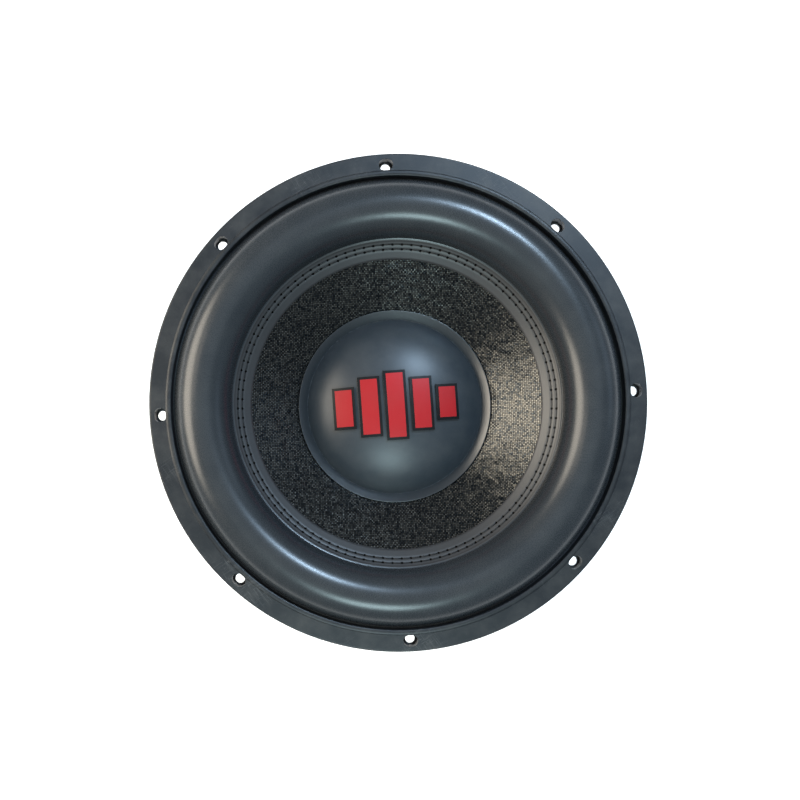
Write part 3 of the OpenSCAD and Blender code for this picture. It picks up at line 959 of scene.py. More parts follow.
def lathe(profile: np.ndarray, segments: int = 256) -> Shape:
    """Revolves a closed loop round Z. U is the share of a turn, and V is the distance along the loop.

    Args:
        profile: (radius, height) points of the loop, in metres, with the first not repeated.
        segments: flats in a turn.

    Returns:
        The closed ring.
    """
    n = len(profile)
    turn = np.linspace(0, 2 * math.pi, segments, endpoint=False)
    points = np.empty((segments, n, 3))
    points[..., 0] = np.cos(turn)[:, None] * profile[:, 0]
    points[..., 1] = np.sin(turn)[:, None] * profile[:, 0]
    points[..., 2] = profile[:, 1]
    i, j = (a.ravel() for a in np.meshgrid(np.arange(segments), np.arange(n), indexing="ij"))
    i2, j2 = (i + 1) % segments, (j + 1) % n
    faces = np.stack([i * n + j, i2 * n + j, i2 * n + j2, i * n + j2], 1)
    lengths = np.linalg.norm(np.roll(profile, -1, 0) - profile, axis=1)
    v = np.concatenate([[0], np.cumsum(lengths)])
    u0, u1 = i / segments, (i + 1) / segments
    v0, v1 = v[j], v[j + 1]
    uv = np.stack([np.stack(corner, 1) for corner in ((u0, v0), (u1, v0), (u1, v1), (u0, v1))], 1)
    return Shape(points.reshape(-1, 3), [faces], [uv])


def dome(profile: np.ndarray, segments: int = 256) -> Shape:
    """Revolves an open line whose two ends lie on Z, and closes each end with a fan to one pole.

    Args:
        profile: (radius, height) points from one pole to the other, in metres.
        segments: flats in a turn.

    Returns:
        The closed skin.
    """
    rings = profile[1:-1]
    n = len(rings)
    turn = np.linspace(0, 2 * math.pi, segments, endpoint=False)
    points = np.empty((segments, n, 3))
    points[..., 0] = np.cos(turn)[:, None] * rings[:, 0]
    points[..., 1] = np.sin(turn)[:, None] * rings[:, 0]
    points[..., 2] = rings[:, 1]
    poles = np.array([[0, 0, profile[0, 1]], [0, 0, profile[-1, 1]]])
    i, j = (a.ravel() for a in np.meshgrid(np.arange(segments), np.arange(n - 1), indexing="ij"))
    i2 = (i + 1) % segments
    quads = np.stack([i * n + j, i2 * n + j, i2 * n + j + 1, i * n + j + 1], 1)
    k = np.arange(segments)
    k2 = (k + 1) % segments
    first, last = segments * n, segments * n + 1
    fans = np.vstack([np.stack([np.full(segments, first), k2 * n, k * n], 1),
                      np.stack([np.full(segments, last), k * n + n - 1, k2 * n + n - 1], 1)])
    everything = np.vstack([points.reshape(-1, 3), poles])
    return Shape(everything, [quads, fans], [everything[quads][..., :2], everything[fans][..., :2]])


def tube(path: np.ndarray, radii: np.ndarray, sides: int, flatten: float = 1.0) -> Shape:
    """Sweeps a round or oval section along a line and closes both ends. U goes round it, and V runs along it.

    Args:
        path: points of the line, in metres.
        radii: the section's radius at each point.
        sides: corners of the section.
        flatten: the section's height as a share of its width.

    Returns:
        The closed tube.
    """
    count = len(path)
    along = np.gradient(path, axis=0)
    along /= np.linalg.norm(along, axis=1)[:, None]
    side = np.cross(along, (0.0, 0.0, 1.0))
    side /= np.linalg.norm(side, axis=1)[:, None]
    up = np.cross(side, along)
    turn = np.linspace(0, 2 * math.pi, sides, endpoint=False)
    ring = (np.cos(turn)[None, :, None] * side[:, None] + flatten * np.sin(turn)[None, :, None] * up[:, None])
    points = path[:, None] + ring * radii[:, None, None]
    i, j = (a.ravel() for a in np.meshgrid(np.arange(count - 1), np.arange(sides), indexing="ij"))
    j2 = (j + 1) % sides
    quads = np.stack([i * sides + j, i * sides + j2, (i + 1) * sides + j2, (i + 1) * sides + j], 1)
    u0, u1, v0, v1 = j / sides, (j + 1) / sides, i / (count - 1), (i + 1) / (count - 1)
    uv = np.stack([np.stack(corner, 1) for corner in ((u0, v0), (u1, v0), (u1, v1), (u0, v1))], 1)
    caps = np.vstack([np.arange(sides)[::-1], np.arange(sides) + (count - 1) * sides])
    cap_uv = np.stack([np.stack([np.cos(turn), np.sin(turn)], 1)] * 2) * 0.001
    return Shape(points.reshape(-1, 3), [quads, caps], [uv, cap_uv])


def scattered(shape: Shape, places: np.ndarray, turns: np.ndarray) -> Shape:
    """Copies one shape to many places, each copy turned round Z.

    Args:
        shape: the shape, near the origin.
        places: where each copy goes.
        turns: how far each copy turns, in radians.

    Returns:
        All the copies as one shape.
    """
    cos, sin = np.cos(turns)[:, None], np.sin(turns)[:, None]
    x, y, z = shape.points.T
    turned = np.stack([x * cos - y * sin, x * sin + y * cos, np.broadcast_to(z, (len(turns), len(z)))], 2)
    points = (turned + places[:, None]).reshape(-1, 3)
    shift = (np.arange(len(turns)) * len(shape.points))[:, None, None]
    faces = [(f[None] + shift).reshape(-1, f.shape[1]) for f in shape.faces]
    uvs = [np.tile(uv, (len(turns), 1, 1)) for uv in shape.uvs]
    return Shape(points, faces, uvs)


def rounded(corners: Sequence[tuple[float, float]], radius: float, steps: int = 8) -> np.ndarray:
    """Rounds every inner corner of a chain of points.

    Args:
        corners: the chain.
        radius: the radius of each bend.
        steps: flats in a bend.

    Returns:
        The rounded chain.
    """
    chain = np.array(corners, float)
    line = [chain[:1]]
    for a, b, c in zip(chain[:-2], chain[1:-1], chain[2:]):
        p, q = (a - b) / np.linalg.norm(a - b), (c - b) / np.linalg.norm(c - b)
        half = math.acos(float(np.clip(p @ q, -1, 1))) / 2
        if half > math.radians(89.5):
            line.append(b[None])
            continue
        middle = b + (p + q) / np.linalg.norm(p + q) * radius / math.sin(half)
        start, end = b + p * radius / math.tan(half) - middle, b + q * radius / math.tan(half) - middle
        turn = math.pi - 2 * half
        w = np.linspace(0, 1, steps + 1)[:, None]
        line.append(middle + (start * np.sin((1 - w) * turn) + end * np.sin(w * turn)) / math.sin(turn))
    line.append(chain[-1:])
    return np.vstack(line)


def run_of(line: np.ndarray) -> np.ndarray:
    """How far each point is along a line from the line's start."""
    return np.concatenate([[0], np.cumsum(np.linalg.norm(np.diff(line, axis=0), axis=1))])


def even(line: np.ndarray, spacing: float) -> np.ndarray:
    """Spreads points evenly along a line, at about the given spacing.

    Args:
        line: the line.
        spacing: the distance between two points, in metres.

    Returns:
        The new points.
    """
    length = run_of(line)
    at = np.linspace(0, length[-1], max(2, int(round(length[-1] / spacing)) + 1))
    return np.stack([np.interp(at, length, line[:, 0]), np.interp(at, length, line[:, 1])], 1)


def skin_of(line: np.ndarray, thickness: float | np.ndarray, lift: float | np.ndarray = 0.0) -> np.ndarray:
    """Thickens a line in the (radius, height) plane into a closed loop.

    Args:
        line: the middle of the sheet.
        thickness: the sheet's thickness, everywhere or at each point.
        lift: how far the upper face stands out further, everywhere or at each point.

    Returns:
        The loop: the upper face from the line's start to its end, and then the lower face back.
    """
    along = np.gradient(line, axis=0)
    along /= np.linalg.norm(along, axis=1)[:, None]
    out = np.stack([-along[:, 1], along[:, 0]], 1)
    if out[:, 1].mean() < 0:
        out = -out
    half = np.broadcast_to(np.asarray(thickness) / 2, len(line))[:, None]
    extra = np.broadcast_to(np.asarray(lift), len(line))[:, None]
    return np.vstack([line + out * (half + extra), (line - out * half)[::-1]])


def smooth(t: np.ndarray) -> np.ndarray:
    """Eases from 0 to 1."""
    t = np.clip(t, 0, 1)
    return t * t * (3 - 2 * t)


def bend_between(piece: bpy.types.Object) -> None:
    """Bakes a piece's placing into its mesh.

    Args:
        piece: the piece, with no parent.
    """
    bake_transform(piece)


# ---------------------------------------------------------------- finishes

TRIM = Finish("satin trim plastic", colour(0.010, 0.012, 0.015), colour(0.007, 0.009, 0.012), 0.40,
              specular=0.45, size=0.0005, depth=0.000018, wear=0.35, dust=0.14, scratch=0.6, rounding=0.0004)
POWDER = Finish("black powder coat", colour(0.012, 0.012, 0.013), colour(0.018, 0.018, 0.019), 0.42,
                size=0.0009, depth=0.00005, wear=0.3, worn=colour(0.11, 0.11, 0.11), dust=0.18,
                rounding=0.0006)
CAP = RimmedFinish("satin cap moulding", colour(0.026, 0.033, 0.041), colour(0.023, 0.030, 0.037), 0.38,
                   specular=0.58, size=0.0003, depth=0.000012, wear=0.6, worn=colour(0.24, 0.25, 0.26),
                   dust=0.10, reach=0.0588, rim=colour(0.014, 0.018, 0.022), rim_roughness=0.33, rim_coat=1.0)
BADGE_BLACK = Finish("badge border", colour(0.004, 0.004, 0.005), colour(0.007, 0.007, 0.008), 0.40,
                     specular=0.2, size=0.0003, depth=0.00001, wear=0.25, dust=0.04, rounding=0.0003)
BADGE_RED = Finish("badge enamel", colour(0.42, 0.010, 0.014), colour(0.38, 0.009, 0.012), 0.45,
                   specular=0.3, size=0.0006, depth=0.000012, wear=0.15, worn=colour(0.7, 0.2, 0.2),
                   dust=0.03, rounding=0.0002)
FORMER = Finish("amber former foil", colour(0.58, 0.42, 0.20), colour(0.50, 0.34, 0.14), 0.38, metallic=0.85,
                texture=Texture.TURNED, size=0.0008, depth=0.00001, wear=0, dust=0.05)
COLLAR = Finish("resin paper", colour(0.23, 0.13, 0.06), colour(0.16, 0.09, 0.045), 0.5,
                size=0.0007, depth=0.00003, wear=0.2, dust=0.1)
COPPER = Finish("enamelled copper", colour(0.55, 0.20, 0.07), colour(0.46, 0.15, 0.05), 0.3, metallic=0.9,
                texture=Texture.WOUND, size=0.00042, depth=0.00012, wear=0, dust=0)
SPACER = Finish("spacer board", colour(0.028, 0.025, 0.023), colour(0.04, 0.036, 0.033), 0.68,
                size=0.0006, depth=0.00005, wear=0.25, dust=0.2)
PLATE = Finish("passivated plate", colour(0.045, 0.045, 0.05), colour(0.03, 0.03, 0.034), 0.38, metallic=0.6,
               texture=Texture.TURNED, size=0.0007, depth=0.00002, wear=0.6, worn=colour(0.4, 0.4, 0.4),
               dust=0.1, rounding=0.0004)
FERRITE = Finish("ground ferrite", colour(0.07, 0.07, 0.075), colour(0.05, 0.05, 0.055), 0.55,
                 size=0.0005, depth=0.00003, wear=0.5, dust=0.1)
YOKE = Finish("zinc forging", colour(0.50, 0.50, 0.53), colour(0.42, 0.42, 0.46), 0.36, metallic=1.0,
              texture=Texture.TURNED, size=0.0006, depth=0.00003, wear=0.3, worn=colour(0.7, 0.7, 0.7),
              dust=0.12, rounding=0.0005)
BOOT = Finish("boot rubber", colour(0.016, 0.016, 0.017), colour(0.024, 0.024, 0.025), 0.56,
              size=0.0006, depth=0.00004, wear=0.4, worn=colour(0.06, 0.06, 0.06), dust=0.3, rounding=0.0012)
SCREEN = Finish("dark screen", colour(0.10, 0.10, 0.11), colour(0.07, 0.07, 0.08), 0.42, metallic=0.9,
                size=0.0004, depth=0.00002, wear=0.4, worn=colour(0.4, 0.4, 0.4), dust=0.15)
ZINC = Finish("bright zinc", colour(0.62, 0.62, 0.65), colour(0.52, 0.53, 0.57), 0.3, metallic=1.0,
              size=0.0005, depth=0.00001, wear=0.2, worn=colour(0.8, 0.8, 0.8), dust=0.08, rounding=0.0003)
NICKEL = Finish("nickel plate", colour(0.66, 0.64, 0.60), colour(0.58, 0.56, 0.53), 0.24, metallic=1.0,
                texture=Texture.TURNED, size=0.0005, depth=0.000006, wear=0, dust=0.05, rounding=0.0002)
BRASS = Finish("tinned brass", colour(0.62, 0.47, 0.22), colour(0.55, 0.42, 0.22), 0.32, metallic=1.0,
               size=0.0004, depth=0.00001, wear=0.2, worn=colour(0.7, 0.6, 0.4), dust=0.05, rounding=0.0001)
MOULDING = Finish("terminal moulding", colour(0.014, 0.014, 0.014), colour(0.02, 0.02, 0.02), 0.45,
                  size=0.0004, depth=0.00003, wear=0.4, dust=0.12, rounding=0.0004)
BUTTON_RED = Finish("red button", colour(0.46, 0.012, 0.012), colour(0.38, 0.010, 0.010), 0.28, coat=0.25,
                    size=0.0004, depth=0.000008, wear=0.3, worn=colour(0.6, 0.15, 0.15), dust=0.08,
                    rounding=0.0006)
BUTTON_BLACK = Finish("black button", colour(0.012, 0.012, 0.012), colour(0.018, 0.018, 0.018), 0.28,
                      coat=0.25, size=0.0004, depth=0.000008, wear=0.3, dust=0.08, rounding=0.0006)
THREAD = Finish("waxed thread", colour(0.007, 0.007, 0.008), colour(0.012, 0.012, 0.013), 0.5,
                size=0.00025, depth=0.00006, wear=0, dust=0.02)
SPRING = Finish("spring wire", colour(0.60, 0.60, 0.62), colour(0.5, 0.5, 0.53), 0.27, metallic=1.0,
                size=0.0003, depth=0.000005, wear=0, dust=0.04, coordinates=Coordinates.REST)
CONE = WovenCone("woven cone", colour(0.013, 0.018, 0.024), colour(0.066, 0.082, 0.098), 0.25, metallic=0.8,
                 specular=0.1, size=0.00105, depth=0.00006, wear=0, dust=0.02)
SPIDER = StripCloth("spider cloth", colour(0.040, 0.033, 0.026), colour(0.028, 0.024, 0.020), 0.75,
                    depth=0.00012, wear=0, dust=0.15, coordinates=Coordinates.REST,
                    along=720.0, across=1 / (0.9 * MM), sheen=0.25)
TINSEL = StripCloth("woven tinsel", colour(0.62, 0.38, 0.17), colour(0.5, 0.28, 0.11), 0.34, metallic=0.85,
                    depth=0.00025, wear=0, dust=0.05, coordinates=Coordinates.REST,
                    along=10.0, across=110.0)


def paint(finish: Finish, *nodes: str) -> None:
    """Gives nodes of the frame their finish.

    Args:
        finish: what covers them.
        nodes: their names.
    """
    for node in nodes:
        shown = frame["nodes"][node]
        shown.data.materials.clear()
        shown.data.materials.append(finish.material())
        LOG.info("%s: %s", node, finish.name)


def settle(piece: bpy.types.Object, body: str, slot: str, *nodes: str) -> None:
    """Puts a finished piece on its body, in place of the nodes it stands for.

    Args:
        piece: the piece.
        body: the body it rides on.
        slot: the record's material slot for it; not used.
        nodes: the nodes of the frame that it stands for.
    """
    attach(piece, body)
    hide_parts(*nodes)
    LOG.info("%s: %d faces, rides on %s", piece.name, len(piece.data.polygons), body)


# ---------------------------------------------------------------- sub-assemblies


@dataclass
class Chassis:
    """The pressed basket, the trim ring over its flange, and the screws that hold the motor on."""

    def build(self) -> None:
        """Paints the nodes of the frame, which already have the right shape."""
        paint(POWDER, "basket")
        paint(TRIM, "trim_ring")
        paint(ZINC, "plate_screws")
        paint(SPACER, "spider_spacer")


@dataclass
class Suspension:
    """The rubber surround and the two spiders, which run between the basket and the cone.

    Attributes:
        thickness: the surround's thickness, in metres.
        roll_width: width of the half roll.
        cone_slope: the cone's slope, in degrees.
        gap: space between the surround's band and the cone.
        stitches: stitches in a row.
        row_gap: distance between the two rows.
        bead: height of the fold at the outer end of the sewn band.
        cloth: thickness of a spider.
        wave: half the height of a spider's corrugation.
        waves: corrugations across a spider.
        land: width of a spider's flat rim.
        neck_land: width of the flat ring at its neck.
    """

    thickness: float = 1.2 * MM
    roll_width: float = 34.4 * MM
    cone_slope: float = 37.0
    gap: float = 0.3 * MM
    stitches: int = 104
    row_gap: float = 2.6 * MM
    bead: float = 0.3 * MM
    cloth: float = 0.8 * MM
    wave: float = 2.4 * MM
    waves: int = 5
    land: float = 12.5 * MM
    neck_land: float = 4.0 * MM

    def __post_init__(self) -> None:
        """Takes the radii and heights that the sheet has to meet from the frame."""
        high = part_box("surround")[1]
        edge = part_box("cone")[1]
        self.rim = high.x
        self.roll_outer = mount("baffle_spigot")["dims"]["r_mm"] * MM
        self.roll_inner = self.roll_outer - self.roll_width
        self.roll_z = high.z - self.thickness / 2 - self.roll_width / 2
        self.cone_edge = (edge.x, edge.z)
        self.tangent = math.tan(math.radians(self.cone_slope))
        self.secant = 1 / math.cos(math.radians(self.cone_slope))
        self.band_inner = self.roll_inner - 12.0 * MM
        self.row_middle = (self.roll_inner + self.band_inner) / 2 + 0.6 * MM

    def over_cone(self, radius: float | np.ndarray, height: float) -> float | np.ndarray:
        """The height of a point that stands so far off the cone's front face."""
        return self.cone_edge[1] + (radius - self.cone_edge[0]) * self.tangent + height * self.secant

    def middle_line(self) -> np.ndarray:
        """The middle of the surround's sheet: rim, half roll, and the band down the cone.

        Returns:
            Points of (radius, height), from the rim inwards.
        """
        stand = self.gap + self.thickness / 2
        turn = np.linspace(math.radians(10), math.radians(170), 40)
        centre = self.roll_outer - self.roll_width / 2
        roll = np.stack([centre + self.roll_width / 2 * np.cos(turn),
                         self.roll_z + self.roll_width / 2 * np.sin(turn)], 1)
        start = rounded([(self.rim, self.roll_z), (self.roll_outer, self.roll_z), tuple(roll[0])], 0.8 * MM)
        end = rounded([tuple(roll[-1]), (self.roll_inner, self.over_cone(self.roll_inner, stand)),
                       (self.band_inner, self.over_cone(self.band_inner, stand))], 0.9 * MM)
        return even(np.vstack([start, roll[1:-1], end]), 0.55 * MM)

    def surround(self) -> bpy.types.Object:
        """The surround, with a fold where its band starts and a shallow valley under each row of stitches.

        Returns:
            The surround.
        """
        line = self.middle_line()
        radius = line[:, 0]
        on_band = smooth((self.roll_inner - 0.4 * MM - radius) / (0.6 * MM))
        fold = self.bead * np.exp(-(((radius - self.roll_inner + 1.3 * MM) / (0.55 * MM)) ** 2))
        rows = [self.row_middle + side * self.row_gap / 2 for side in (-1, 1)]
        valley = sum(0.22 * MM * np.exp(-(((radius - row) / (0.45 * MM)) ** 2)) for row in rows)
        end = 0.35 * MM * smooth((self.band_inner + 0.9 * MM - radius) / (0.9 * MM))
        loop = skin_of(line, self.thickness, on_band * (fold - valley) - end)
        length = run_of(loop)[:len(line)]
        upper = loop[:len(line), 0]
        inside = radius < self.roll_inner
        along = [float(np.interp(-row, -upper[inside], length[inside])) for row in rows]
        band_at = float(length[np.argmax(on_band > 0.5)])
        rubber = SewnRubber(
            "surround rubber", colour(0.026, 0.030, 0.034), colour(0.022, 0.026, 0.030), 0.26,
            size=0.0005, depth=0.00002, wear=0.0, dust=0.05, coordinates=Coordinates.REST,
            rows=(along[0], along[1]), count=self.stitches,
            pitch=2 * math.pi * self.row_middle / self.stitches,
            fold=(band_at, float(length[-1])))
        made = lathe(loop, 360).piece("surround_skin", rubber)
        bend_between(made)
        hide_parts("surround")
        LOG.info("%s: %d faces, bends", made.name, len(made.data.polygons))
        return made

    def stitching(self) -> bpy.types.Object:
        """Both rows of stitches: each stitch is a short thread whose ends dive into the band.

        Returns:
            All the stitches as one piece, which rides on the cone.
        """
        t = np.linspace(-1, 1, 7)
        shape = None
        top = self.gap + self.thickness
        width = 0.27 * MM
        for side in (-1, 1):
            radius = self.row_middle + side * self.row_gap / 2
            half = math.pi * radius / self.stitches * 0.80
            swing = t * half / radius
            path = np.stack([np.cos(swing) * radius - radius, np.sin(swing) * radius,
                             0.16 * MM - 0.62 * MM * np.abs(t) ** 3], 1)
            thread = tube(path, np.full(len(t), width) * (1 - 0.25 * t**2), 6, flatten=0.8)
            turns = np.linspace(0, 2 * math.pi, self.stitches, endpoint=False)
            z = float(self.over_cone(radius, top))
            places = np.stack([radius * np.cos(turns), radius * np.sin(turns), np.full(self.stitches, z)], 1)
            row = scattered(thread, places, turns)
            shape = row if shape is None else shape.plus(row)
        made = shape.piece("stitched_thread", THREAD, sharp=80)
        settle(made, MOVING, "thread", "surround_stitching")
        return made

    def spider(self, node: str) -> bpy.types.Object:
        """One corrugated spider.

        Args:
            node: the node it stands for.

        Returns:
            The spider.
        """
        low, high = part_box(node)
        z = (low.z + high.z) / 2
        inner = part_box("former_collar")[1].x + self.gap
        start, stop = inner + self.neck_land, high.x - self.land
        radius = np.linspace(high.x, inner, 260)
        phase = np.clip((radius - start) / (stop - start), 0, 1) * self.waves * 2 * math.pi
        ease = smooth((radius - start) / (3 * MM)) * smooth((stop - radius) / (3 * MM))
        line = even(np.stack([radius, z - self.wave * np.sin(phase) * (0.75 + 0.25 * ease)], 1), 0.62 * MM)
        loop = skin_of(line, self.cloth)
        shape = lathe(loop, 216)
        made = shape.piece(node + "_cloth", SPIDER)
        bend_between(made)
        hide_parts(node)
        LOG.info("%s: %d faces, bends", made.name, len(made.data.polygons))
        return made

    def build(self) -> None:
        """Makes every piece of the suspension."""
        self.surround()
        self.stitching()
        self.spider("spider_upper")
        self.spider("spider_lower")


@dataclass
class Diaphragm:
    """The woven cone, the dust cap glued to it, and the badge on the cap.

    Attributes:
        slope: the cone's slope, in degrees.
        thickness: the cone's thickness, in metres.
        cap_thickness: the cap's thickness.
        cap_rim: width of the cap's glued rim.
        dome_height: the dome's rise.
        dome_edge: how far round its ellipse the dome runs, in degrees.
    """

    slope: float = 37.0
    thickness: float = 1.0 * MM
    cap_thickness: float = 1.2 * MM
    cap_rim: float = 6.0 * MM
    dome_height: float = 20.0 * MM
    dome_edge: float = 76.0

    def cone(self) -> bpy.types.Object:
        """The cone, as a thin lathed sheet.

        Returns:
            The cone.
        """
        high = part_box("cone")[1]
        tangent = math.tan(math.radians(self.slope))
        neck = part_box("former_collar")[1].x + 0.15 * MM
        front = even(np.array([(high.x, high.z), (neck, high.z + (neck - high.x) * tangent)]), 2.4 * MM)
        drop = self.thickness / math.cos(math.radians(self.slope))
        back = front[::-1] - (0, drop)
        made = lathe(np.vstack([front, back]), 288).piece("woven_cone", CONE)
        settle(made, MOVING, "woven_fibre", "cone")
        return made

    def cap_line(self, off: float) -> np.ndarray:
        """The dome's outline from its top to its foot, so far outside the middle of its sheet.

        Args:
            off: how far outside the middle of the sheet, in metres.

        Returns:
            Points of (radius, height), from the axis outwards.
        """
        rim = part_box("dust_cap")[1].x - self.cap_rim
        edge = math.radians(self.dome_edge)
        wide = rim / math.sin(edge)
        tall = self.dome_height / (1 - math.cos(edge))
        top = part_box("dust_cap")[1].z - self.cap_thickness / 2
        t = np.linspace(0, edge, 64)
        out = np.stack([np.sin(t) / wide, np.cos(t) / tall], 1)
        out /= np.linalg.norm(out, axis=1)[:, None]
        return np.stack([wide * np.sin(t), top - tall * (1 - np.cos(t))], 1) + out * off

    def cap(self) -> bpy.types.Object:
        """The dust cap: a dome, a tight fillet at its foot, and a flat rim that lies on the cone.

        Returns:
            The dust cap.
        """
        reach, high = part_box("dust_cap")[1].x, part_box("cone")[1]
        tangent, secant = math.tan(math.radians(self.slope)), 1 / math.cos(math.radians(self.slope))
        outer, inner = self.cap_line(self.cap_thickness / 2), self.cap_line(-self.cap_thickness / 2)

        def rim(radius: float, height: float) -> tuple[float, float]:
            """A point of the rim, at a radius and so far off the cone's front face."""
            return radius, high.z + (radius - high.x) * tangent + height * secant

        foot = reach - self.cap_rim
        top, ease = self.cap_thickness, 0.35 * MM
        above = rounded([tuple(outer[-2]), rim(foot + ease, top), rim(reach - ease, top),
                         rim(reach, top - 0.4 * MM), rim(reach, 0.0)], 0.3 * MM, 5)
        below = np.array([rim(reach - 0.1 * MM, 0.0), rim(foot, 0.0), rim(foot - self.cap_thickness, 0.0)])
        profile = np.vstack([outer[:-2], above, below, inner[::-1][2:]])
        made = dome(profile, 256).piece("dust_cap_skin", CAP, sharp=50)
        settle(made, MOVING, "cap_plastic", "dust_cap")
        return made

    def build(self) -> None:
        """Makes the cone and the cap, and paints the badge."""
        self.cone()
        self.cap()
        paint(BADGE_BLACK, "badge_border")
        paint(BADGE_RED, "badge_face")


@dataclass
class VoiceCoil:
    """The former, its stiffening collar and the two coils wound on it."""

    def build(self) -> None:
        """Paints the nodes of the frame."""
        paint(FORMER, "coil_former")
        paint(COLLAR, "former_collar")
        paint(COPPER, "coil_winding_inner", "coil_winding_outer")


@dataclass
class Motor:
    """The plates, magnets, pole, boot and vent screen."""

    def build(self) -> None:
        """Paints the nodes of the frame."""
        paint(PLATE, "top_plate")
        paint(FERRITE, "magnet_upper", "magnet_lower")
        paint(YOKE, "yoke")
        paint(BOOT, "magnet_boot")
        paint(SCREEN, "vent_screen")


@dataclass
class Terminals:
    """The push terminals and the woven leads that run from them to the voice coils.

    Attributes:
        wire: the spring wire's diameter, in metres.
        turns: turns of a spring.
        lead: a lead's diameter.
        travel: how far a button moves.
        height: a spring's length when it is at rest.
    """

    wire: float = 0.6 * MM
    turns: float = 4.0
    lead: float = 2.4 * MM
    travel: float = 3.0 * MM
    height: float = 6.5 * MM

    def spring(self, side: str, pole: str) -> bpy.types.Object:
        """One button's coil spring.

        Args:
            side: left or right.
            pole: positive or negative.

        Returns:
            The spring.
        """
        node = f"spring_{side}_{pole}"
        low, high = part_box(node)
        inward = np.array(joint(f"press_{side}_{pole}")["axis"])
        across = np.array([0.0, 1.0, 0.0])
        third = np.cross(inward, across)
        radius = (high.y - low.y) / 2 - self.wire / 2
        middle = np.array((low + high) / 2)
        t = np.linspace(0, 1, int(self.turns * 24) + 1)
        turn = t * self.turns * 2 * math.pi
        ease = self.wire / 2 + 0.1 * MM
        along = (t - 0.5) * (self.height - 2 * ease)
        path = (middle + radius * (np.cos(turn)[:, None] * across + np.sin(turn)[:, None] * third)
                + along[:, None] * inward)
        made = tube(path, np.full(len(t), self.wire / 2), 8).piece(f"{node}_coil", SPRING, sharp=80)
        settle(made, FIXED, "spring_steel", node)
        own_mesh(made)
        return made

    def wire_lead(self, side: str, pole: str) -> bpy.types.Object:
        """One woven lead, from its lug to the voice coil's collar.

        Args:
            side: left or right.
            pole: positive or negative.

        Returns:
            The lead, which bends between its lug and the cone.
        """
        node = f"lead_{side}_{pole}"
        low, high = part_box(node)
        lug_low, lug_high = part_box(f"lug_{side}_{pole}")
        out = 1.0 if side == "right" else -1.0
        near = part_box("former_collar")[1].x
        y = (lug_low.y + lug_high.y) / 2
        y_end = y * 0.6
        x_end = math.sqrt((near + self.lead / 2) ** 2 - y_end**2) + self.lead / 2
        x_start = max(abs(low.x), abs(high.x)) - self.lead * 0.45
        z_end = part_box("former_collar")[1].z - 0.6 * MM
        z_start = self.start_height(node, x_start)
        course = np.array([[x_start, y, z_start], [x_start - 16 * MM, y, z_start + 12 * MM],
                           [x_end + 16 * MM, y_end, z_end + 2.5 * MM], [x_end, y_end, z_end]])
        t = np.linspace(0, 1, 90)[:, None]
        path = ((1 - t) ** 3 * course[0] + 3 * (1 - t) ** 2 * t * course[1]
                + 3 * (1 - t) * t**2 * course[2] + t**3 * course[3])
        path[:, 0] *= out
        radii = np.full(len(t), self.lead / 2 - 0.08 * MM)
        made = tube(path, radii, 20).piece(f"{node}_braid", TINSEL, sharp=80)
        bend_between(made)
        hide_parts(node)
        LOG.info("%s: %d faces, bends", made.name, len(made.data.polygons))
        return made

    def start_height(self, node: str, reach: float) -> float:
        """The height at which a lead leaves its lug, read from the node's own outermost points.

        Args:
            node: the lead's node.
            reach: how far out its first ring stands, in metres.

        Returns:
            The height, in metres.
        """
        data = frame["nodes"][node].data
        points = np.empty(len(data.vertices) * 3)
        data.vertices.foreach_get("co", points)
        points = points.reshape(-1, 3)
        return float(points[np.abs(points[:, 0]) > reach - 0.6 * self.lead / 2][:, 2].mean())

    def build(self) -> None:
        """Makes the springs and leads, and paints the rest."""
        for side, pole in POSTS:
            self.spring(side, pole)
            self.wire_lead(side, pole)
            paint(NICKEL, f"barrel_{side}_{pole}", f"plunger_{side}_{pole}")
            paint(BRASS, f"lug_{side}_{pole}")
            paint(BUTTON_RED if pole == "positive" else BUTTON_BLACK, f"button_{side}_{pole}")
        for side in SIDES:
            paint(MOULDING, f"terminal_base_{side}")
            paint(ZINC, f"terminal_rivets_{side}")


@dataclass(frozen=True)
class Lamp:
    """A soft rectangular light that looks at the driver.

    Attributes:
        name: its name.
        place: where it stands, in metres.
        size: its width and height.
        watts: its power.
        tint: its colour.
    """

    name: str
    place: tuple[float, float, float]
    size: tuple[float, float]
    watts: float
    tint: tuple[float, float, float]

    def build(self) -> None:
        """Adds the light."""
        data = bpy.data.lights.new(self.name, "AREA")
        data.shape = "ELLIPSE"
        data.size, data.size_y = self.size
        data.energy = self.watts
        data.color = self.tint
        made = bpy.data.objects.new(self.name, data)
        made.location = self.place
        made.rotation_mode = "QUATERNION"
        made.rotation_quaternion = Vector(self.place).to_track_quat("Z", "Y")
        bpy.context.scene.collection.objects.link(made)


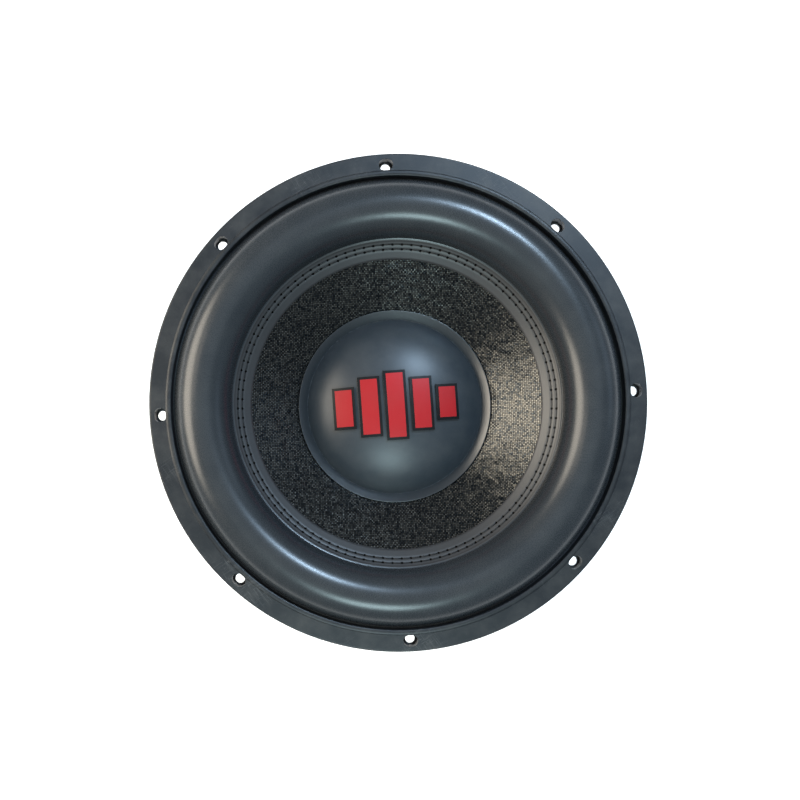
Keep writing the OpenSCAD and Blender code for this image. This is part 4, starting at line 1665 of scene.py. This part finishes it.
@dataclass
class Studio:
    """A pale floor, soft lamps and a camera that looks down on the driver.

    Attributes:
        distance: the camera's height over the trim ring, in metres.
        aside: how far it stands from the driver's axis.
        lens: its focal length, in millimetres.
        shift: how far its picture is shifted, as a share of its width.
        spread: how far the floor reaches each way, in metres.
        lamps: the lights.
    """

    distance: float = 0.520
    aside: tuple[float, float] = (-0.031, -0.032)
    lens: float = 37.51
    shift: tuple[float, float] = (0.0642, 0.0674)
    spread: float = 40.0
    lamps: tuple[Lamp, ...] = (
        Lamp("overhead panel", (0.0, 0.0, 1.8), (2.0, 2.0), 3.4, (0.84, 0.94, 1.0)),
        Lamp("cool lamp", (0.53, 0.92, 1.43), (0.28, 0.28), 20.0, (0.56, 0.77, 1.0)),
        Lamp("warm lamp", (-1.22, 0.16, 0.68), (1.25, 0.78), 21.0, (1.0, 0.90, 0.75)),
        Lamp("blue lamp", (1.22, 0.35, 0.62), (0.90, 0.50), 0.9, (0.58, 0.77, 1.0)),
        Lamp("amber lamp", (-0.92, 0.30, 1.42), (0.30, 0.30), 1.2, (1.0, 0.90, 0.76)),
        Lamp("teal lamp", (-0.04, -0.99, 1.34), (0.50, 0.50), 11.0, (0.70, 0.95, 1.0)),
    )

    def floor(self) -> None:
        """A wide pale floor under the driver."""
        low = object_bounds()[0].z
        data = bpy.data.meshes.new("floor")
        corners = ((-1, -1), (1, -1), (1, 1), (-1, 1))
        data.from_pydata([(x * self.spread, y * self.spread, low) for x, y in corners], [], [(0, 1, 2, 3)])
        made = bpy.data.objects.new("floor", data)
        bpy.context.scene.collection.objects.link(made)
        pale = bpy.data.materials.new("pale floor")
        pale.use_nodes = True
        pale.node_tree.nodes.clear()
        g = Graph(pale.node_tree)
        tone = g.remap(g.noise(g.node("TexCoord").outputs["Object"], 3.0, 4.0), 0.3, 0.7, 0.86, 0.90)
        shade = g.colours(tone, colour(0, 0, 0), colour(1, 1, 1))
        shader = g.node("BsdfPrincipled", {"Base Color": shade, "Roughness": 0.7,
                                           "Emission Color": shade, "Emission Strength": 0.85})
        g.node("OutputMaterial", {0: shader.outputs[0]})
        data.materials.append(pale)
        made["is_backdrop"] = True

    def surroundings(self) -> None:
        """An even pale room."""
        world = bpy.data.worlds.new("pale room")
        bpy.context.scene.world = world
        world.use_nodes = True
        world.node_tree.nodes.clear()
        g = Graph(world.node_tree)
        seen = g.node("LightPath").outputs["Is Camera Ray"]
        tint = g.colours(seen, (0.84, 0.92, 1.0, 1.0), (1.0, 1.0, 1.0, 1.0))
        background = g.node("Background", {"Color": tint, "Strength": g.levels(seen, 0.30, 1.0)})
        g.node("OutputWorld", {0: background.outputs[0]})

    def camera(self) -> None:
        """The camera, level with the baffle and a little to one side."""
        data = bpy.data.cameras.new("camera")
        data.lens = self.lens
        data.shift_x, data.shift_y = self.shift
        made = bpy.data.objects.new("camera", data)
        made.location = (*self.aside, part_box("trim_ring")[1].z + self.distance)
        bpy.context.scene.collection.objects.link(made)
        bpy.context.scene.camera = made

    def build(self) -> None:
        """Sets up everything that isn't part of the driver."""
        self.floor()
        self.surroundings()
        for lamp in self.lamps:
            lamp.build()
        self.camera()
        bpy.context.scene.view_settings.view_transform = "Standard"


def main() -> None:
    """Builds the driver's looks, sub-assembly by sub-assembly, and then the studio."""
    logging.basicConfig(level=logging.INFO, format="%(message)s")
    for assembly in (Chassis(), Suspension(), Diaphragm(), VoiceCoil(), Motor(), Terminals(), Studio()):
        LOG.info("-- %s", type(assembly).__name__)
        assembly.build()
    bpy.context.view_layer.update()


if __name__ == "__main__":
    main()
